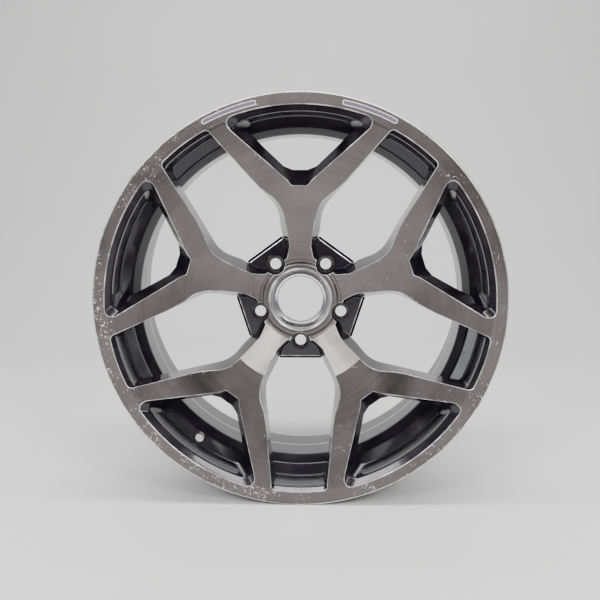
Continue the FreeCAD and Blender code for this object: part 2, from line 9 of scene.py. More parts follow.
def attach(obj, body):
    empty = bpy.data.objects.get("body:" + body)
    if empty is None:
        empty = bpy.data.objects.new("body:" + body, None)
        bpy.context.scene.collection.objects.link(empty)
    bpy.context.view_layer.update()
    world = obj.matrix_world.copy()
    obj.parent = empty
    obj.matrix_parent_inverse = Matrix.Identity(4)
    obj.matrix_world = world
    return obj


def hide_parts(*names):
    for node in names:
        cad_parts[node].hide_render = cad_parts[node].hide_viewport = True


# The wheel is built again here as clean surfaces, with the rounded edges and even shading that
# a machined and painted forging has.  Lengths are in millimetres until a mesh is made.  In the
# working frame x runs across, y is the depth from the lip plane and z runs up.
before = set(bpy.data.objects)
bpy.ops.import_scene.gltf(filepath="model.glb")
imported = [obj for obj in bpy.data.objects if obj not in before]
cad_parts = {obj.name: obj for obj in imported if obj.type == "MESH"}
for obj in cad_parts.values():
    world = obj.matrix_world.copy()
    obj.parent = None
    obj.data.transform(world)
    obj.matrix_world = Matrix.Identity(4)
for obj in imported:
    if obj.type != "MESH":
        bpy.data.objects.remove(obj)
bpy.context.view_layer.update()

HUB_SETBACK = 82.5
SPOKES = 5
SECTOR = 360.0 / SPOKES
HALF = SECTOR / 2.0
SPOKE_NAMES = ["top", "upper_left", "lower_left", "lower_right", "upper_right"]
BOSS_NAMES = ["upper_left", "left", "bottom", "right", "upper_right"]
# places of the materials in a piece of the wheel, and in a stripe
FACE, BLACK, EDGE, BARE, SEAT = range(5)
FILL, OUTLINE = range(2)

# ------------------------------------------------------------------ turned sections


def arc_centre(start, end, radius, side):
    """Centre of the arc from start to end; side is +1 when it lies left of the chord."""
    chord = np.subtract(end, start)
    length = math.hypot(*chord)
    rise = math.sqrt(max(radius * radius - length * length / 4.0, 0.0))
    return np.add(start, end) / 2.0 + np.array([-chord[1], chord[0]]) * side * rise / length


def swept(centre, start, end, count):
    """Points on the shorter arc about a centre, from start to end."""
    first, last = np.subtract(start, centre), np.subtract(end, centre)
    begin = math.atan2(first[1], first[0])
    turn = (math.atan2(last[1], last[0]) - begin + math.pi) % (2.0 * math.pi) - math.pi
    reach = np.linspace(math.hypot(*first), math.hypot(*last), count + 1)
    angle = begin + turn * np.linspace(0.0, 1.0, count + 1)
    return np.stack([reach * np.cos(angle), reach * np.sin(angle)], 1) + centre


def profile(*steps):
    """A polyline in (radius, depth): plain corners, or (radius, depth, round, side, count)."""
    points = [np.array([steps[0][:2]], float)]
    for step in steps[1:]:
        last = points[-1][-1]
        if len(step) == 2:
            points.append(np.array([step], float))
        else:
            centre = arc_centre(last, step[:2], step[2], step[3])
            points.append(swept(centre, last, step[:2], step[4])[1:])
    return np.concatenate(points)


# corners of the turned face from the nose to the lip, as (radius, depth)
CREST = (42.0, 58.8)
FOOT = (50.2, 61.2)
COVE = (54.0, 60.0)
CREASE = (107.2, 32.8)
LIP = (240.0, 0.0)
LIP_EDGE = 256.2
# pieces of the turned face: inner and outer radius, centre and round of the arc, and its sign;
# a straight piece has no centre, and its slope stands where the round would
FACE_ARC = (arc_centre(CREASE, LIP, 895.0, 1), 895.0, -1.0)
FACE_PIECES = [
    (CREST[0], FOOT[0], arc_centre(CREST, FOOT, 9.0, 1), 9.0, -1.0),
    (FOOT[0], COVE[0], arc_centre(FOOT, COVE, 3.2, -1), 3.2, 1.0),
    (COVE[0], CREASE[0], None, (CREASE[1] - COVE[1]) / (CREASE[0] - COVE[0]), 0.0),
    (CREASE[0], LIP[0], *FACE_ARC),
    (LIP[0], LIP_EDGE + 5.0, None, 0.0, 0.0),
]
# radii of the flanges, the barrel, the mounting pad and the bores in the hub
FLANGE_RADIUS = 258.6
BARREL_RADIUS = 235.8
PAD_RADIUS = 75.0
PAD_BORE = 31.1
HUB_BORE = 30.05
CAP_BORE = 33.6
# radius at which the flat back of the hub ends
PAD_SPAN = 88.0
# the back of the disc, as (radius, depth)
BACK_PROFILE = np.array([
    (PAD_RADIUS, 81.0), (PAD_SPAN, 81.0), (112.0, 65.0), (150.0, 54.0), (205.0, 46.0),
    (BARREL_RADIUS, 47.0),
])


def piece_depth(piece, radius):
    """Depth of one piece of the turned face."""
    _, _, centre, bend, sign = piece
    if centre is None:
        start = COVE if bend else LIP
        return start[1] + bend * (radius - start[0])
    return centre[1] + sign * np.sqrt(np.maximum(bend**2 - (radius - centre[0]) ** 2, 0.0))


def piece_slope(piece, radius):
    """How much the depth of one piece grows for each millimetre of radius."""
    _, _, centre, bend, sign = piece
    if centre is None:
        return np.full(np.shape(radius), bend)
    run = np.sqrt(np.maximum(bend**2 - (radius - centre[0]) ** 2, 1e-6))
    return -sign * (radius - centre[0]) / run


def which_piece(radius):
    edges = [piece[0] for piece in FACE_PIECES[1:]]
    return np.searchsorted(edges, radius, side="right")


def front_depth(radius):
    radius = np.maximum(np.asarray(radius, float), CREST[0])
    found = which_piece(radius)
    return np.choose(found, [piece_depth(piece, radius) for piece in FACE_PIECES])


def radius_of(points):
    """Distances from the wheel's axis, for flat points and for points in space."""
    return np.hypot(points[..., 0], points[..., -1])


def lifted(flat, depth):
    """Flat points, across and up, put at one depth or at a depth each."""
    depth = np.broadcast_to(np.asarray(depth, float), flat.shape[:-1])
    return np.stack([flat[..., 0], depth, flat[..., 1]], -1)


def cone_normal(points, radius, slope, facing):
    """Normals where the depth changes by slope with the radius; facing is their depth part."""
    tilt = -facing * slope
    normal = [tilt * points[..., 0] / radius, np.full_like(radius, facing),
              tilt * points[..., 2] / radius]
    return unit(np.stack(normal, -1))


def front_normal(points, found=None):
    """Outward normals of the turned face; found picks the piece of the section for each."""
    radius = radius_of(points)
    if found is None:
        found = which_piece(radius)
    slopes = [
        piece_slope(piece, np.clip(radius, piece[0], piece[1])) for piece in FACE_PIECES
    ]
    return cone_normal(points, radius, np.choose(found, slopes), -1.0)


def back_depth(radius):
    return np.interp(radius, BACK_PROFILE[:, 0], BACK_PROFILE[:, 1])


def back_normal(points):
    """Outward normals of the back, with its corners smoothed over a little."""
    radius = radius_of(points)
    slope = (back_depth(radius + 3.0) - back_depth(radius - 3.0)) / 6.0
    return cone_normal(points, radius, slope, 1.0)


def unit(vectors):
    length = np.linalg.norm(vectors, axis=-1, keepdims=True)
    return vectors / np.maximum(length, 1e-12)


# ------------------------------------------------------------------ outlines of the openings

# Corners of half an opening at the turned face: across, along, corner round, and how far the
# wall runs across and along for each millimetre of depth.
V_CROTCH = (9.8, 147.5, 3.0, -0.02, 0.70)
V_CHEEK = (14.2, 153.2, 5.0, 0.22, 0.65)
V_ARM = (80.0, 210.0, 0.0, -0.224, 0.26)
# depth of the ledge in each wall at the rim, and the wall's shape there as (depth, radius from
# the wheel's axis, round of the corner)
V_LEDGE = 9.2
V_SHELVES = np.array([(-3.0, 245.6, 9.0), (V_LEDGE, 236.2, 10.0), (62.0, 235.7, 11.0)])
GAP_KNEE = (53.8, 116.0, 40.0, -0.20, 0.0)
GAP_HIP = (44.0, 148.0, 110.0, -0.03, 0.0)
GAP_ARM = (36.0, 228.0, 0.0, -0.03, 0.0)
GAP_LEDGE = 6.8
GAP_SHELVES = np.array([(-3.0, 243.3, 6.0), (GAP_LEDGE, 236.0, 7.0), (75.5, 235.7, 8.0)])
POCKET_ROOT = (18.0, 54.5, 4.0, -0.22, 0.15)
POCKET_STEM = (30.6, 66.0, 6.0, -0.27, 0.02)
POCKET_MOUTH = (37.2, 78.5, 0.0, -0.27, 0.0)
# height of the pad's edge across the mouth of a gap, as (depth, height)
PAD_CHORD = np.array([(75.5, 78.7), (79.0, 82.3), (92.0, 82.8)])
# the bolt holes: radius of their circle, bore and mouth, the room for a wrench, the boss round
# each with the depth of its top, and the depth of the floor that it stands on
BOLT_CIRCLE = 57.15
BOLT_BORE = 7.25
BOLT_MOUTH = 7.55
WRENCH_RADIUS = 13.3
BOSS_RADIUS = 12.8
BOSS_DEPTH = 71.5
FLOOR_DEPTH = 75.5
# how far past its last corner an arm's edge is carried on towards the rim
OVERSHOOT = 0.3


def nominal_depth(radius):
    """Depth of the turned face without its hub, as the corner tables use it."""
    if radius >= LIP[0]:
        return 0.0
    if radius <= CREASE[0]:
        return float(piece_depth(FACE_PIECES[2], radius))
    return float(piece_depth(FACE_PIECES[3], radius))


def at_depth(corner, depth):
    """An opening's corner where its wall passes a depth, with its corner round."""
    across, along, bend, across_run, along_run = corner
    below = depth - nominal_depth(math.hypot(across, along))
    return (across + across_run * below, along + along_run * below, bend)


def beyond(near, far, share, bend):
    """The point past far on the line from near, with its own corner round."""
    return (far[0] + (far[0] - near[0]) * share, far[1] + (far[1] - near[1]) * share, bend)


def line_corner(before, corner, after, count):
    """Points on the round between two straight edges."""
    place, bend = np.array(corner[:2]), corner[2]
    back, ahead = (unit(np.subtract(end[:2], place)) for end in (before, after))
    half_angle = math.acos(back @ ahead) / 2.0
    run = bend / math.tan(half_angle)
    centre = place + unit(back + ahead) * bend / math.sin(half_angle)
    return swept(centre, place + back * run, place + ahead * run, count)


def rim_corner(neighbour, corner, rim_radius, count):
    """Points on the round between a straight edge and the arc about the wheel's axis."""
    near, place, bend = np.array(neighbour[:2]), np.array(corner[:2]), corner[2]
    ahead = unit(place - near)
    inward = np.array([-abs(ahead[1]), abs(ahead[0])])
    start = near + bend * inward
    middle = start @ ahead
    run = math.sqrt(middle**2 - start @ start + (rim_radius - bend) ** 2) - middle
    centre = start + run * ahead
    return swept(centre, centre - bend * inward, unit(centre) * rim_radius, count)


def line(start, end, count):
    share = np.linspace(0.0, 1.0, count + 1)[:, None]
    return np.array(start)[None, :2] * (1 - share) + np.array(end)[None, :2] * share


def joined(parts):
    """One polyline from parts that meet end to start."""
    return np.concatenate([parts[0]] + [part[1:] for part in parts[1:]])


def spaced(points, count):
    """The same line divided evenly by its length."""
    steps = np.hypot(*np.diff(points, axis=0).T)
    run = np.concatenate([[0.0], np.cumsum(steps)])
    target = np.linspace(0.0, run[-1], count + 1)
    return np.stack([np.interp(target, run, points[:, k]) for k in (0, 1)], 1)


def shelf(shelves, depth):
    """Radius of the wall at the rim, and of its corner round, at a depth."""
    return [float(np.interp(depth, shelves[:, 0], shelves[:, k])) for k in (1, 2)]


def flank(start, before, corners, rim_radius, counts):
    """From start round two corners and out along an arm to the rim, with steps for each part."""
    first, second, arm = corners
    near_round = line_corner(before, first, second, counts[1])
    far_round = line_corner(first, second, arm, counts[3])
    end_round = rim_corner(second, arm, rim_radius, counts[5])
    return joined([
        line(start, near_round[0], counts[0]),
        near_round,
        line(near_round[-1], far_round[0], counts[2]),
        far_round,
        line(far_round[-1], end_round[0], counts[4]),
        end_round,
        swept((0.0, 0.0), end_round[-1], (0.0, rim_radius), counts[6]),
    ])


def v_half(depth):
    """Right half of the opening between a spoke's two arms, from its root out to the rim."""
    rim_radius, bend = shelf(V_SHELVES, depth)
    crotch = at_depth(V_CROTCH, depth)
    cheek = at_depth(V_CHEEK, depth)
    arm = beyond(cheek, at_depth(V_ARM, depth), OVERSHOOT, bend)
    mirrored = (-crotch[0], crotch[1])
    middle = (0.0, crotch[1])
    return flank(middle, mirrored, (crotch, cheek, arm), rim_radius, (4, 8, 3, 6, 44, 14, 40))


SCALLOP_STEPS = 16
POCKET_STEPS = 40
MOUTH = SCALLOP_STEPS + POCKET_STEPS


def gap_half(depth):
    """Right half of the gap between two spokes with its bolt pocket, from the nose outwards."""
    rim_radius, bend = shelf(GAP_SHELVES, depth)
    above = min(depth, FLOOR_DEPTH)
    root = at_depth(POCKET_ROOT, above)
    stem = at_depth(POCKET_STEM, above)
    mouth = at_depth(POCKET_MOUTH, above)
    knee = at_depth(GAP_KNEE, depth)
    hip = at_depth(GAP_HIP, depth)
    arm = beyond(hip, at_depth(GAP_ARM, depth), OVERSHOOT, bend)
    root_round = line_corner((-root[0], root[1]), root, stem, 12)
    stem_round = line_corner(root, stem, mouth, 12)
    pocket = joined([
        line((0.0, root[1]), root_round[0], 40),
        root_round,
        line(root_round[-1], stem_round[0], 40),
        stem_round,
        line(stem_round[-1], mouth, 30),
    ])
    clip = WRENCH_RADIUS if depth <= BOSS_DEPTH + 0.01 else BOSS_RADIUS - 0.1
    apart = np.hypot(pocket[:, 0], pocket[:, 1] - BOLT_CIRCLE)
    outside = int(np.argmax(apart > clip))
    share = (clip - apart[outside - 1]) / (apart[outside] - apart[outside - 1])
    cusp = pocket[outside - 1] + (pocket[outside] - pocket[outside - 1]) * share
    pocket = spaced(np.concatenate([[cusp], pocket[outside:]]), POCKET_STEPS)
    scallop = swept((0.0, BOLT_CIRCLE), (0.0, BOLT_CIRCLE - clip), cusp, SCALLOP_STEPS)
    start = mouth
    if depth > FLOOR_DEPTH + 0.01:
        chord = float(np.interp(depth, PAD_CHORD[:, 0], PAD_CHORD[:, 1]))
        share = (chord - mouth[1]) / (knee[1] - mouth[1])
        start = (mouth[0] + share * (knee[0] - mouth[0]), chord)
    side = flank(start, mouth, (knee, hip, arm), rim_radius, (14, 14, 4, 10, 34, 12, 16))
    return np.concatenate([scallop, pocket[1:], side[1:]])


def whole(half):
    """Both halves of an opening, anticlockwise from the middle of its inner end."""
    other = half[-2:0:-1] * [-1.0, 1.0]
    return np.concatenate([half, other])


class Opening:
    """An opening's wall as columns that run from the turned face down to its far end."""

    def __init__(self, half, levels, ledge):
        self.ledge = ledge
        self.levels = np.array(levels, float)
        self.stack = np.array([whole(half(depth)) for depth in levels])
        self.count = self.stack.shape[1]
        self.middle = self.count // 2
        radius = radius_of(self.stack)
        self.top = self.crossing(self.levels[:, None] - front_depth(radius))
        self.back = self.crossing(self.levels[:, None] - back_depth(radius))
        self.rim = self.at(self.top)
        ahead = np.roll(self.rim, -1, 0) - np.roll(self.rim, 1, 0)
        outward = unit(np.cross(unit(ahead), front_normal(self.rim)))
        self.face_edge = self.rim + outward * TOP_BREAK
        self.face_edge[:, 1] = front_depth(radius_of(self.face_edge))

    def crossing(self, height):
        """Depth in each column at which height first turns from negative to positive."""
        found = []
        for column in height.T:
            index = int(np.argmax((column[1:] >= 0.0) & (column[:-1] < 0.0)))
            share = -column[index] / (column[index + 1] - column[index])
            low, high = self.levels[index], self.levels[index + 1]
            found.append(low + share * (high - low))
        return np.array(found)

    def at(self, depth, columns=None):
        """Points of the columns at a depth for each."""
        columns = np.arange(self.count) if columns is None else columns
        depth = np.broadcast_to(np.asarray(depth, float), columns.shape)
        index = np.clip(np.searchsorted(self.levels, depth) - 1, 0, len(self.levels) - 2)
        low, high = self.levels[index], self.levels[index + 1]
        share = ((depth - low) / (high - low))[:, None]
        flat = self.stack[index, columns] * (1 - share) + self.stack[index + 1, columns] * share
        return lifted(flat, depth)

    def columns(self, first, last):
        """Column numbers from first to last along the loop."""
        if last < first:
            last += self.count
        return np.arange(first, last + 1) % self.count

    def wall(self, columns, bottom, kind, rows=14):
        """Rows of points: edge break at the face, the wall, and its foot of the given kind."""
        rim = self.rim[columns]
        down = unit(self.at(self.top[columns] + 1.0, columns) - rim)
        inner = rim + down * TOP_BREAK
        foot = self.at(bottom, columns)
        up = unit(self.at(bottom - 1.0, columns) - foot)
        if kind == "edge":
            ending = back_break(foot, up)
        elif kind == "cove":
            ending = cove(foot, up)
        else:
            ending = [foot]
        foot_top = bottom - 0.02 if kind == "plain" else ending[0][:, 1]
        first = inner[:, 1]
        height = foot_top - first
        # a row just above the ledge and one just below it keep its corner narrow
        above = np.clip((self.ledge - 0.6 - first) / height, 0.10, 0.85)
        below = np.clip((self.ledge + 0.6 - first) / height, above + 0.03, 0.90)
        shares = [above * step / 4.0 for step in range(1, 5)]
        shares += [below + (1.0 - below) * (step - 5) / (rows - 5) for step in range(5, rows)]
        middle = [self.at(first + height * share, columns) for share in shares]
        return np.array(bezier(self.face_edge[columns], rim, inner, 4) + middle + ending)


def back_break(foot, up):
    """The edge break at the back; along the rim a small raised bead takes its place."""
    away = unit(np.cross(back_normal(foot), tangents(foot)))
    lapped = foot + away * BACK_BREAK
    lapped[:, 1] = back_depth(radius_of(lapped))
    radius = radius_of(foot)
    at_rim = np.clip((radius - 234.0) / 1.5, 0.0, 1.0)[:, None]
    inward = foot * [-1.0, 0.0, -1.0] / radius[:, None]
    bead = foot + up * 0.9 + inward * 2.2
    start = foot + up * (BACK_BREAK + 1.7 * at_rim)
    control = foot * (1.0 - at_rim) + bead * at_rim
    end = lapped * (1.0 - at_rim) + (foot + inward * 0.2) * at_rim
    return bezier(start, control, end, 4)


def cove(foot, up):
    """The hollow round between a wall and the floor, smaller where a boss stands close."""
    spare = np.hypot(foot[:, 0], foot[:, 2] - BOLT_CIRCLE) - BOSS_RADIUS
    size = np.clip(spare * 0.8, 0.2, 2.0)[:, None]
    inward = unit(np.cross(tangents(foot), [0.0, 1.0, 0.0]))
    return bezier(foot + up * size, foot, foot + inward * size, 4)


def bezier(start, control, end, count):
    """Points on a curve that leaves start and reaches end along the lines to control."""
    return [start * (1 - share) ** 2 + control * 2 * share * (1 - share) + end * share**2
            for share in np.linspace(0.0, 1.0, count + 1)]


def tangents(points):
    return unit(np.gradient(points, axis=0))


# size of the edge breaks at the face and at the back
TOP_BREAK = 0.7
BACK_BREAK = 1.3
# depths of the outlines that make a wall, with those where its shape changes
LEVELS = sorted(set(np.arange(-4.0, 86.0, 1.5)) | {
    V_LEDGE, GAP_LEDGE, BOSS_DEPTH, BOSS_DEPTH + 0.05, FLOOR_DEPTH, FLOOR_DEPTH + 0.05, 79.0,
})
V_OPENING = Opening(v_half, LEVELS, V_LEDGE)
GAP_OPENING = Opening(gap_half, LEVELS, GAP_LEDGE)

# ------------------------------------------------------------------ meshes


def new_mesh(name, points, faces):
    mesh = bpy.data.meshes.new(name)
    mesh.from_pydata(points, [], faces)
    return mesh


def new_object(name, data):
    made = bpy.data.objects.new(name, data)
    bpy.context.scene.collection.objects.link(made)
    return made


def turned(points, degrees):
    """Points turned anticlockwise about the wheel's axis, as seen from the face."""
    c, s = math.cos(math.radians(degrees)), math.sin(math.radians(degrees))
    out = np.array(points, float)
    out[..., 0] = points[..., 0] * c - points[..., 2] * s
    out[..., 2] = points[..., 0] * s + points[..., 2] * c
    return out


def grid_normals(points, closed=False):
    """Normals of rows of points; the rows of a closed grid end where they start."""
    down = np.gradient(points, axis=0)
    across = np.gradient(points, axis=1)
    if closed:
        across[:, 0] = across[:, -1] = points[:, 1] - points[:, -2]
    return unit(np.cross(across, down))


class Shell:
    """Faces with a normal at each corner, welded where their corners meet."""

    def __init__(self):
        self.corners = []
        self.normals = []
        self.sizes = []
        self.kinds = []

    def add(self, corners, normals, kind):
        """corners and normals are (faces, corners, 3); each face is turned to its normals."""
        normals = np.array(np.broadcast_to(normals, corners.shape), float)
        corners = np.array(corners, float)
        if corners.shape[1] == 4:
            facing = np.cross(corners[:, 2] - corners[:, 0], corners[:, 3] - corners[:, 1])
        else:
            facing = np.cross(corners[:, 1] - corners[:, 0], corners[:, 2] - corners[:, 0])
        wrong = (facing * normals.sum(1)).sum(1) < 0.0
        corners[wrong] = corners[wrong, ::-1]
        normals[wrong] = normals[wrong, ::-1]
        self.corners.append(corners.reshape(-1, 3))
        self.normals.append(unit(normals).reshape(-1, 3))
        self.sizes.append(np.full(len(corners), corners.shape[1]))
        kind = np.broadcast_to(kind, len(corners))
        self.kinds.append(np.array(kind))

    def grid(self, points, kind, closed=False, normals=None):
        """Rows of points; the outward side is where columns run right as rows run down."""
        points = np.asarray(points, float)
        if closed:
            points = np.concatenate([points, points[:, :1]], 1)
        if normals is None:
            normals = grid_normals(points, closed)
        kind = np.asarray(kind)
        if kind.ndim == 1:
            kind = np.repeat(kind[:, None], points.shape[1] - 1, 1)

        def quads(values):
            return np.stack(
                [values[:-1, :-1], values[:-1, 1:], values[1:, 1:], values[1:, :-1]], 2
            ).reshape(-1, 4, 3)

        self.add(quads(points), quads(normals), kind.reshape(-1) if kind.ndim else kind)

    def extend(self, other, degrees=0.0):
        for corners, normals in zip(other.corners, other.normals):
            self.corners.append(turned(corners, degrees))
            self.normals.append(turned(normals, degrees))
        self.sizes += other.sizes
        self.kinds += other.kinds

    def mesh(self, name):
        corners = np.concatenate(self.corners)
        normals = np.concatenate(self.normals)
        sizes = np.concatenate(self.sizes)
        kinds = np.concatenate(self.kinds)
        keys = np.round((corners + 0.000371) / 0.002).astype(np.int64)
        _, first, index = np.unique(keys, axis=0, return_index=True, return_inverse=True)
        index = index.reshape(-1)
        points = corners[first]
        starts = np.concatenate([[0], np.cumsum(sizes)[:-1]])
        faces, kept_normals, kept_kinds = [], [], []
        seen = set()
        for start, size, kind in zip(starts, sizes, kinds):
            loop = []
            for place in range(start, start + size):
                if not loop or index[place] != index[loop[-1]]:
                    loop.append(place)
            if len(loop) > 1 and index[loop[0]] == index[loop[-1]]:
                loop.pop()
            used = [int(index[place]) for place in loop]
            mark = frozenset(used)
            if len(mark) < 3 or len(mark) != len(used) or mark in seen:
                continue
            seen.add(mark)
            faces.append(used)
            kept_normals.extend(normals[place] for place in loop)
            kept_kinds.append(int(kind))
        places = points - [0.0, HUB_SETBACK, 0.0]
        mesh = new_mesh(name, (places * 0.001).tolist(), faces)
        mesh.polygons.foreach_set("material_index", kept_kinds)
        mesh.polygons.foreach_set("use_smooth", [True] * len(faces))
        mesh.update()
        mesh.normals_split_custom_set([tuple(normal) for normal in kept_normals])
        return mesh


def turned_strip(shell, section, kind, angles, centre=None):
    """A section in (radius, depth) turned about the wheel's axis or a bolt hole's."""
    angles = np.radians(np.asarray(angles, float))
    section = np.asarray(section, float)
    ahead = np.gradient(section, axis=0)
    if len(section) > 2:
        ahead = unit(ahead)
    flat = unit(np.stack([ahead[:, 1], -ahead[:, 0]], 1))
    points = np.empty((len(section), len(angles), 3))
    normals = np.empty_like(points)
    for values, source in ((points, section), (normals, flat)):
        values[..., 0] = source[:, None, 0] * np.cos(angles)
        values[..., 1] = source[:, None, 1]
        values[..., 2] = source[:, None, 0] * np.sin(angles)
    if centre is not None:
        points[..., 2] += centre
    shell.grid(points, kind, normals=normals)


def smooth_strips(shell, sections, angles, centre=None):
    """Strips that meet at sharp corners; each keeps its own normals."""
    for section, kind in sections:
        turned_strip(shell, section, kind, angles, centre)


def inside(points, polygon):
    """Whether each flat point lies in a closed polygon."""
    result = np.zeros(len(points), bool)
    x, y = points[:, 0], points[:, 1]
    previous = polygon[-1]
    for current in polygon:
        crosses = (current[1] > y) != (previous[1] > y)
        rise = previous[1] - current[1]
        if rise != 0.0:
            where = current[0] + (y - current[1]) * (previous[0] - current[0]) / rise
            result ^= crosses & (x < where)
        previous = current
    return result


def apart_from(points, lines, least):
    """Which points keep at least this distance from all points of some lines."""
    keep = np.ones(len(points), bool)
    for polyline in lines:
        for start in range(0, len(polyline), 64):
            block = polyline[start:start + 64]
            gaps = np.hypot(
                points[:, None, 0] - block[None, :, 0], points[:, None, 1] - block[None, :, 1]
            )
            keep &= gaps.min(1) > least
    return keep


def filled(outer, holes, grid_points, extra=()):
    """Triangles of a flat region: corner places (n, 2) and (m, 3) indices, anticlockwise."""
    places, edges, start = [], [], 0
    for number, polyline in enumerate([outer, *holes, *extra]):
        count = len(polyline)
        closed = number <= len(holes)
        edges += [(start + k, start + (k + 1) % count) for k in range(count - (not closed))]
        places.append(polyline)
        start += count

    def within(points):
        kept = inside(points, outer)
        for hole in holes:
            kept &= ~inside(points, hole)
        return kept

    fresh = within(grid_points) & apart_from(grid_points, places, 1.1)
    places.append(grid_points[fresh])
    places = np.concatenate(places)
    made, _, faces, origin, _, _ = delaunay_2d_cdt(
        [Vector(place) for place in places], edges, [], 0, 1e-4
    )
    corners = np.array([
        places[source[0]] if source else (vertex.x, vertex.y)
        for vertex, source in zip(made, origin)
    ])
    faces = np.array([face for face in faces if len(face) == 3])
    faces = faces[within(corners[faces].mean(1))]
    a, b, c = (corners[faces[:, k]] for k in range(3))
    area = (b[:, 0] - a[:, 0]) * (c[:, 1] - a[:, 1]) - (b[:, 1] - a[:, 1]) * (c[:, 0] - a[:, 0])
    faces[area < 0] = faces[area < 0][:, ::-1]
    return corners, faces[np.abs(area) > 1e-7]


def flat_of(points):
    """Points in space as flat ones, across and up."""
    return points[..., [0, 2]]


def polar(radius, degrees):
    """Flat points from radii and angles."""
    angle = np.radians(degrees)
    return np.stack([radius * np.cos(angle), radius * np.sin(angle)], -1)


def polar_line(start, end, step=1.5):
    """A line between two flat points whose radius and angle both change evenly."""
    radii = np.hypot(*start), np.hypot(*end)
    angles = np.degrees(math.atan2(start[1], start[0])), np.degrees(math.atan2(end[1], end[0]))
    count = max(2, int(math.radians(abs(angles[1] - angles[0])) * max(radii) / step))
    share = np.linspace(0.0, 1.0, count + 1)
    points = polar(
        radii[0] + (radii[1] - radii[0]) * share, angles[0] + (angles[1] - angles[0]) * share
    )
    points[0], points[-1] = start, end
    return points


def rings_of_points(radii, low, high):
    """Staggered points on circles between two angles in degrees."""
    made = []
    for number, (radius, spacing) in enumerate(radii):
        count = max(2, int(round(radius * math.radians(high - low) / spacing)))
        share = (np.arange(count) + (0.5 if number % 2 else 0.0)) / count
        made.append(polar(np.full(count, radius), low + (high - low) * share))
    return np.concatenate(made)


# ------------------------------------------------------------------ the disc, sector by sector

# first columns of the walls that belong to the lip, and how many columns there are
V_MARK = int(np.argmax(radius_of(V_OPENING.rim) > BARREL_RADIUS))
GAP_MARK = int(np.argmax(radius_of(GAP_OPENING.rim) > BARREL_RADIUS))
V_LAST = V_OPENING.count
GAP_LAST = GAP_OPENING.count
LEFT, RIGHT = 90.0 + HALF, 90.0 - HALF
OUTER_STEPS = 120
INNER_STEPS = 60
LIP_SHARES = np.linspace(0.0, 1.0, 6)[1:-1]


def sector_arc(radius, count, first=RIGHT, last=LEFT):
    """Flat points on a circle, evenly from one angle to another."""
    return polar(np.full(count + 1, float(radius)), np.linspace(first, last, count + 1))


def front_region():
    """Triangles of the turned face in one sector, with the piece that each belongs to."""
    gap_right = flat_of(turned(GAP_OPENING.face_edge, -HALF))
    gap_left = flat_of(turned(GAP_OPENING.face_edge, HALF))
    order = [0] + list(range(GAP_LAST - 1, GAP_OPENING.middle - 1, -1))
    right = gap_right[order]
    left = gap_left[np.arange(GAP_OPENING.middle, -1, -1)]
    near = float(np.hypot(*right[-1]))
    steps = near + (LIP_EDGE - near) * LIP_SHARES
    outer = np.concatenate([
        sector_arc(CREST[0], INNER_STEPS, LEFT, RIGHT),
        right,
        polar(steps, RIGHT),
        sector_arc(LIP_EDGE, OUTER_STEPS),
        polar(steps[::-1], LEFT),
        left,
    ])
    hole = flat_of(V_OPENING.face_edge)
    joint_right = gap_right[GAP_LAST - MOUTH]
    joint_left = gap_left[MOUTH]
    hub_line = polar_line(joint_left, joint_right)
    arm_lines = [
        polar_line(gap_left[GAP_MARK], hole[V_LAST - V_MARK]),
        polar_line(hole[V_MARK], gap_right[GAP_LAST - GAP_MARK]),
    ]
    # rings of points as (radius, spacing), closer together where the section bends
    radii = [(r, 1.3) for r in (43.0, 44.2, 45.5, 47.0, 48.5, 50.2, 51.5, 52.6, 54.0)]
    radii += [(r, 2.2) for r in np.arange(56.2, 105.0, 2.6)]
    radii += [(105.6, 1.6), (107.2, 1.0), (108.8, 1.6)]
    radii += [(r, 2.8) for r in np.arange(111.2, 238.0, 2.8)]
    radii += [(240.0, 1.6)] + [(r, 2.8) for r in (242.6, 245.4, 248.2, 251.0, 253.6)]
    points = rings_of_points(radii, RIGHT, LEFT)
    places, faces = filled(outer, [hole], points, [hub_line, *arm_lines])
    corners = lifted(places, front_depth(radius_of(places)))[faces]
    middle = places[faces].mean(1)
    middle_radius = radius_of(middle)
    piece = which_piece(middle_radius)
    normals = front_normal(corners, np.repeat(piece[:, None], 3, 1))
    angle = np.degrees(np.arctan2(middle[:, 1], middle[:, 0]))
    border = []
    for polyline in (hub_line, *arm_lines):
        ends = np.degrees(np.arctan2(polyline[[-1, 0], 1], polyline[[-1, 0], 0]))
        border.append((ends, radius_of(polyline[[-1, 0]])))
    hub_reach = np.interp(angle, *border[0])
    arm_reach = np.where(angle > 90.0, np.interp(angle, *border[1]), np.interp(angle, *border[2]))
    zone = np.full(len(faces), "spoke", dtype=object)
    zone[middle_radius > arm_reach] = "lip"
    zone[middle_radius < hub_reach] = "hub"
    zone[middle_radius < 51.5] = "nose"
    return corners, normals, zone


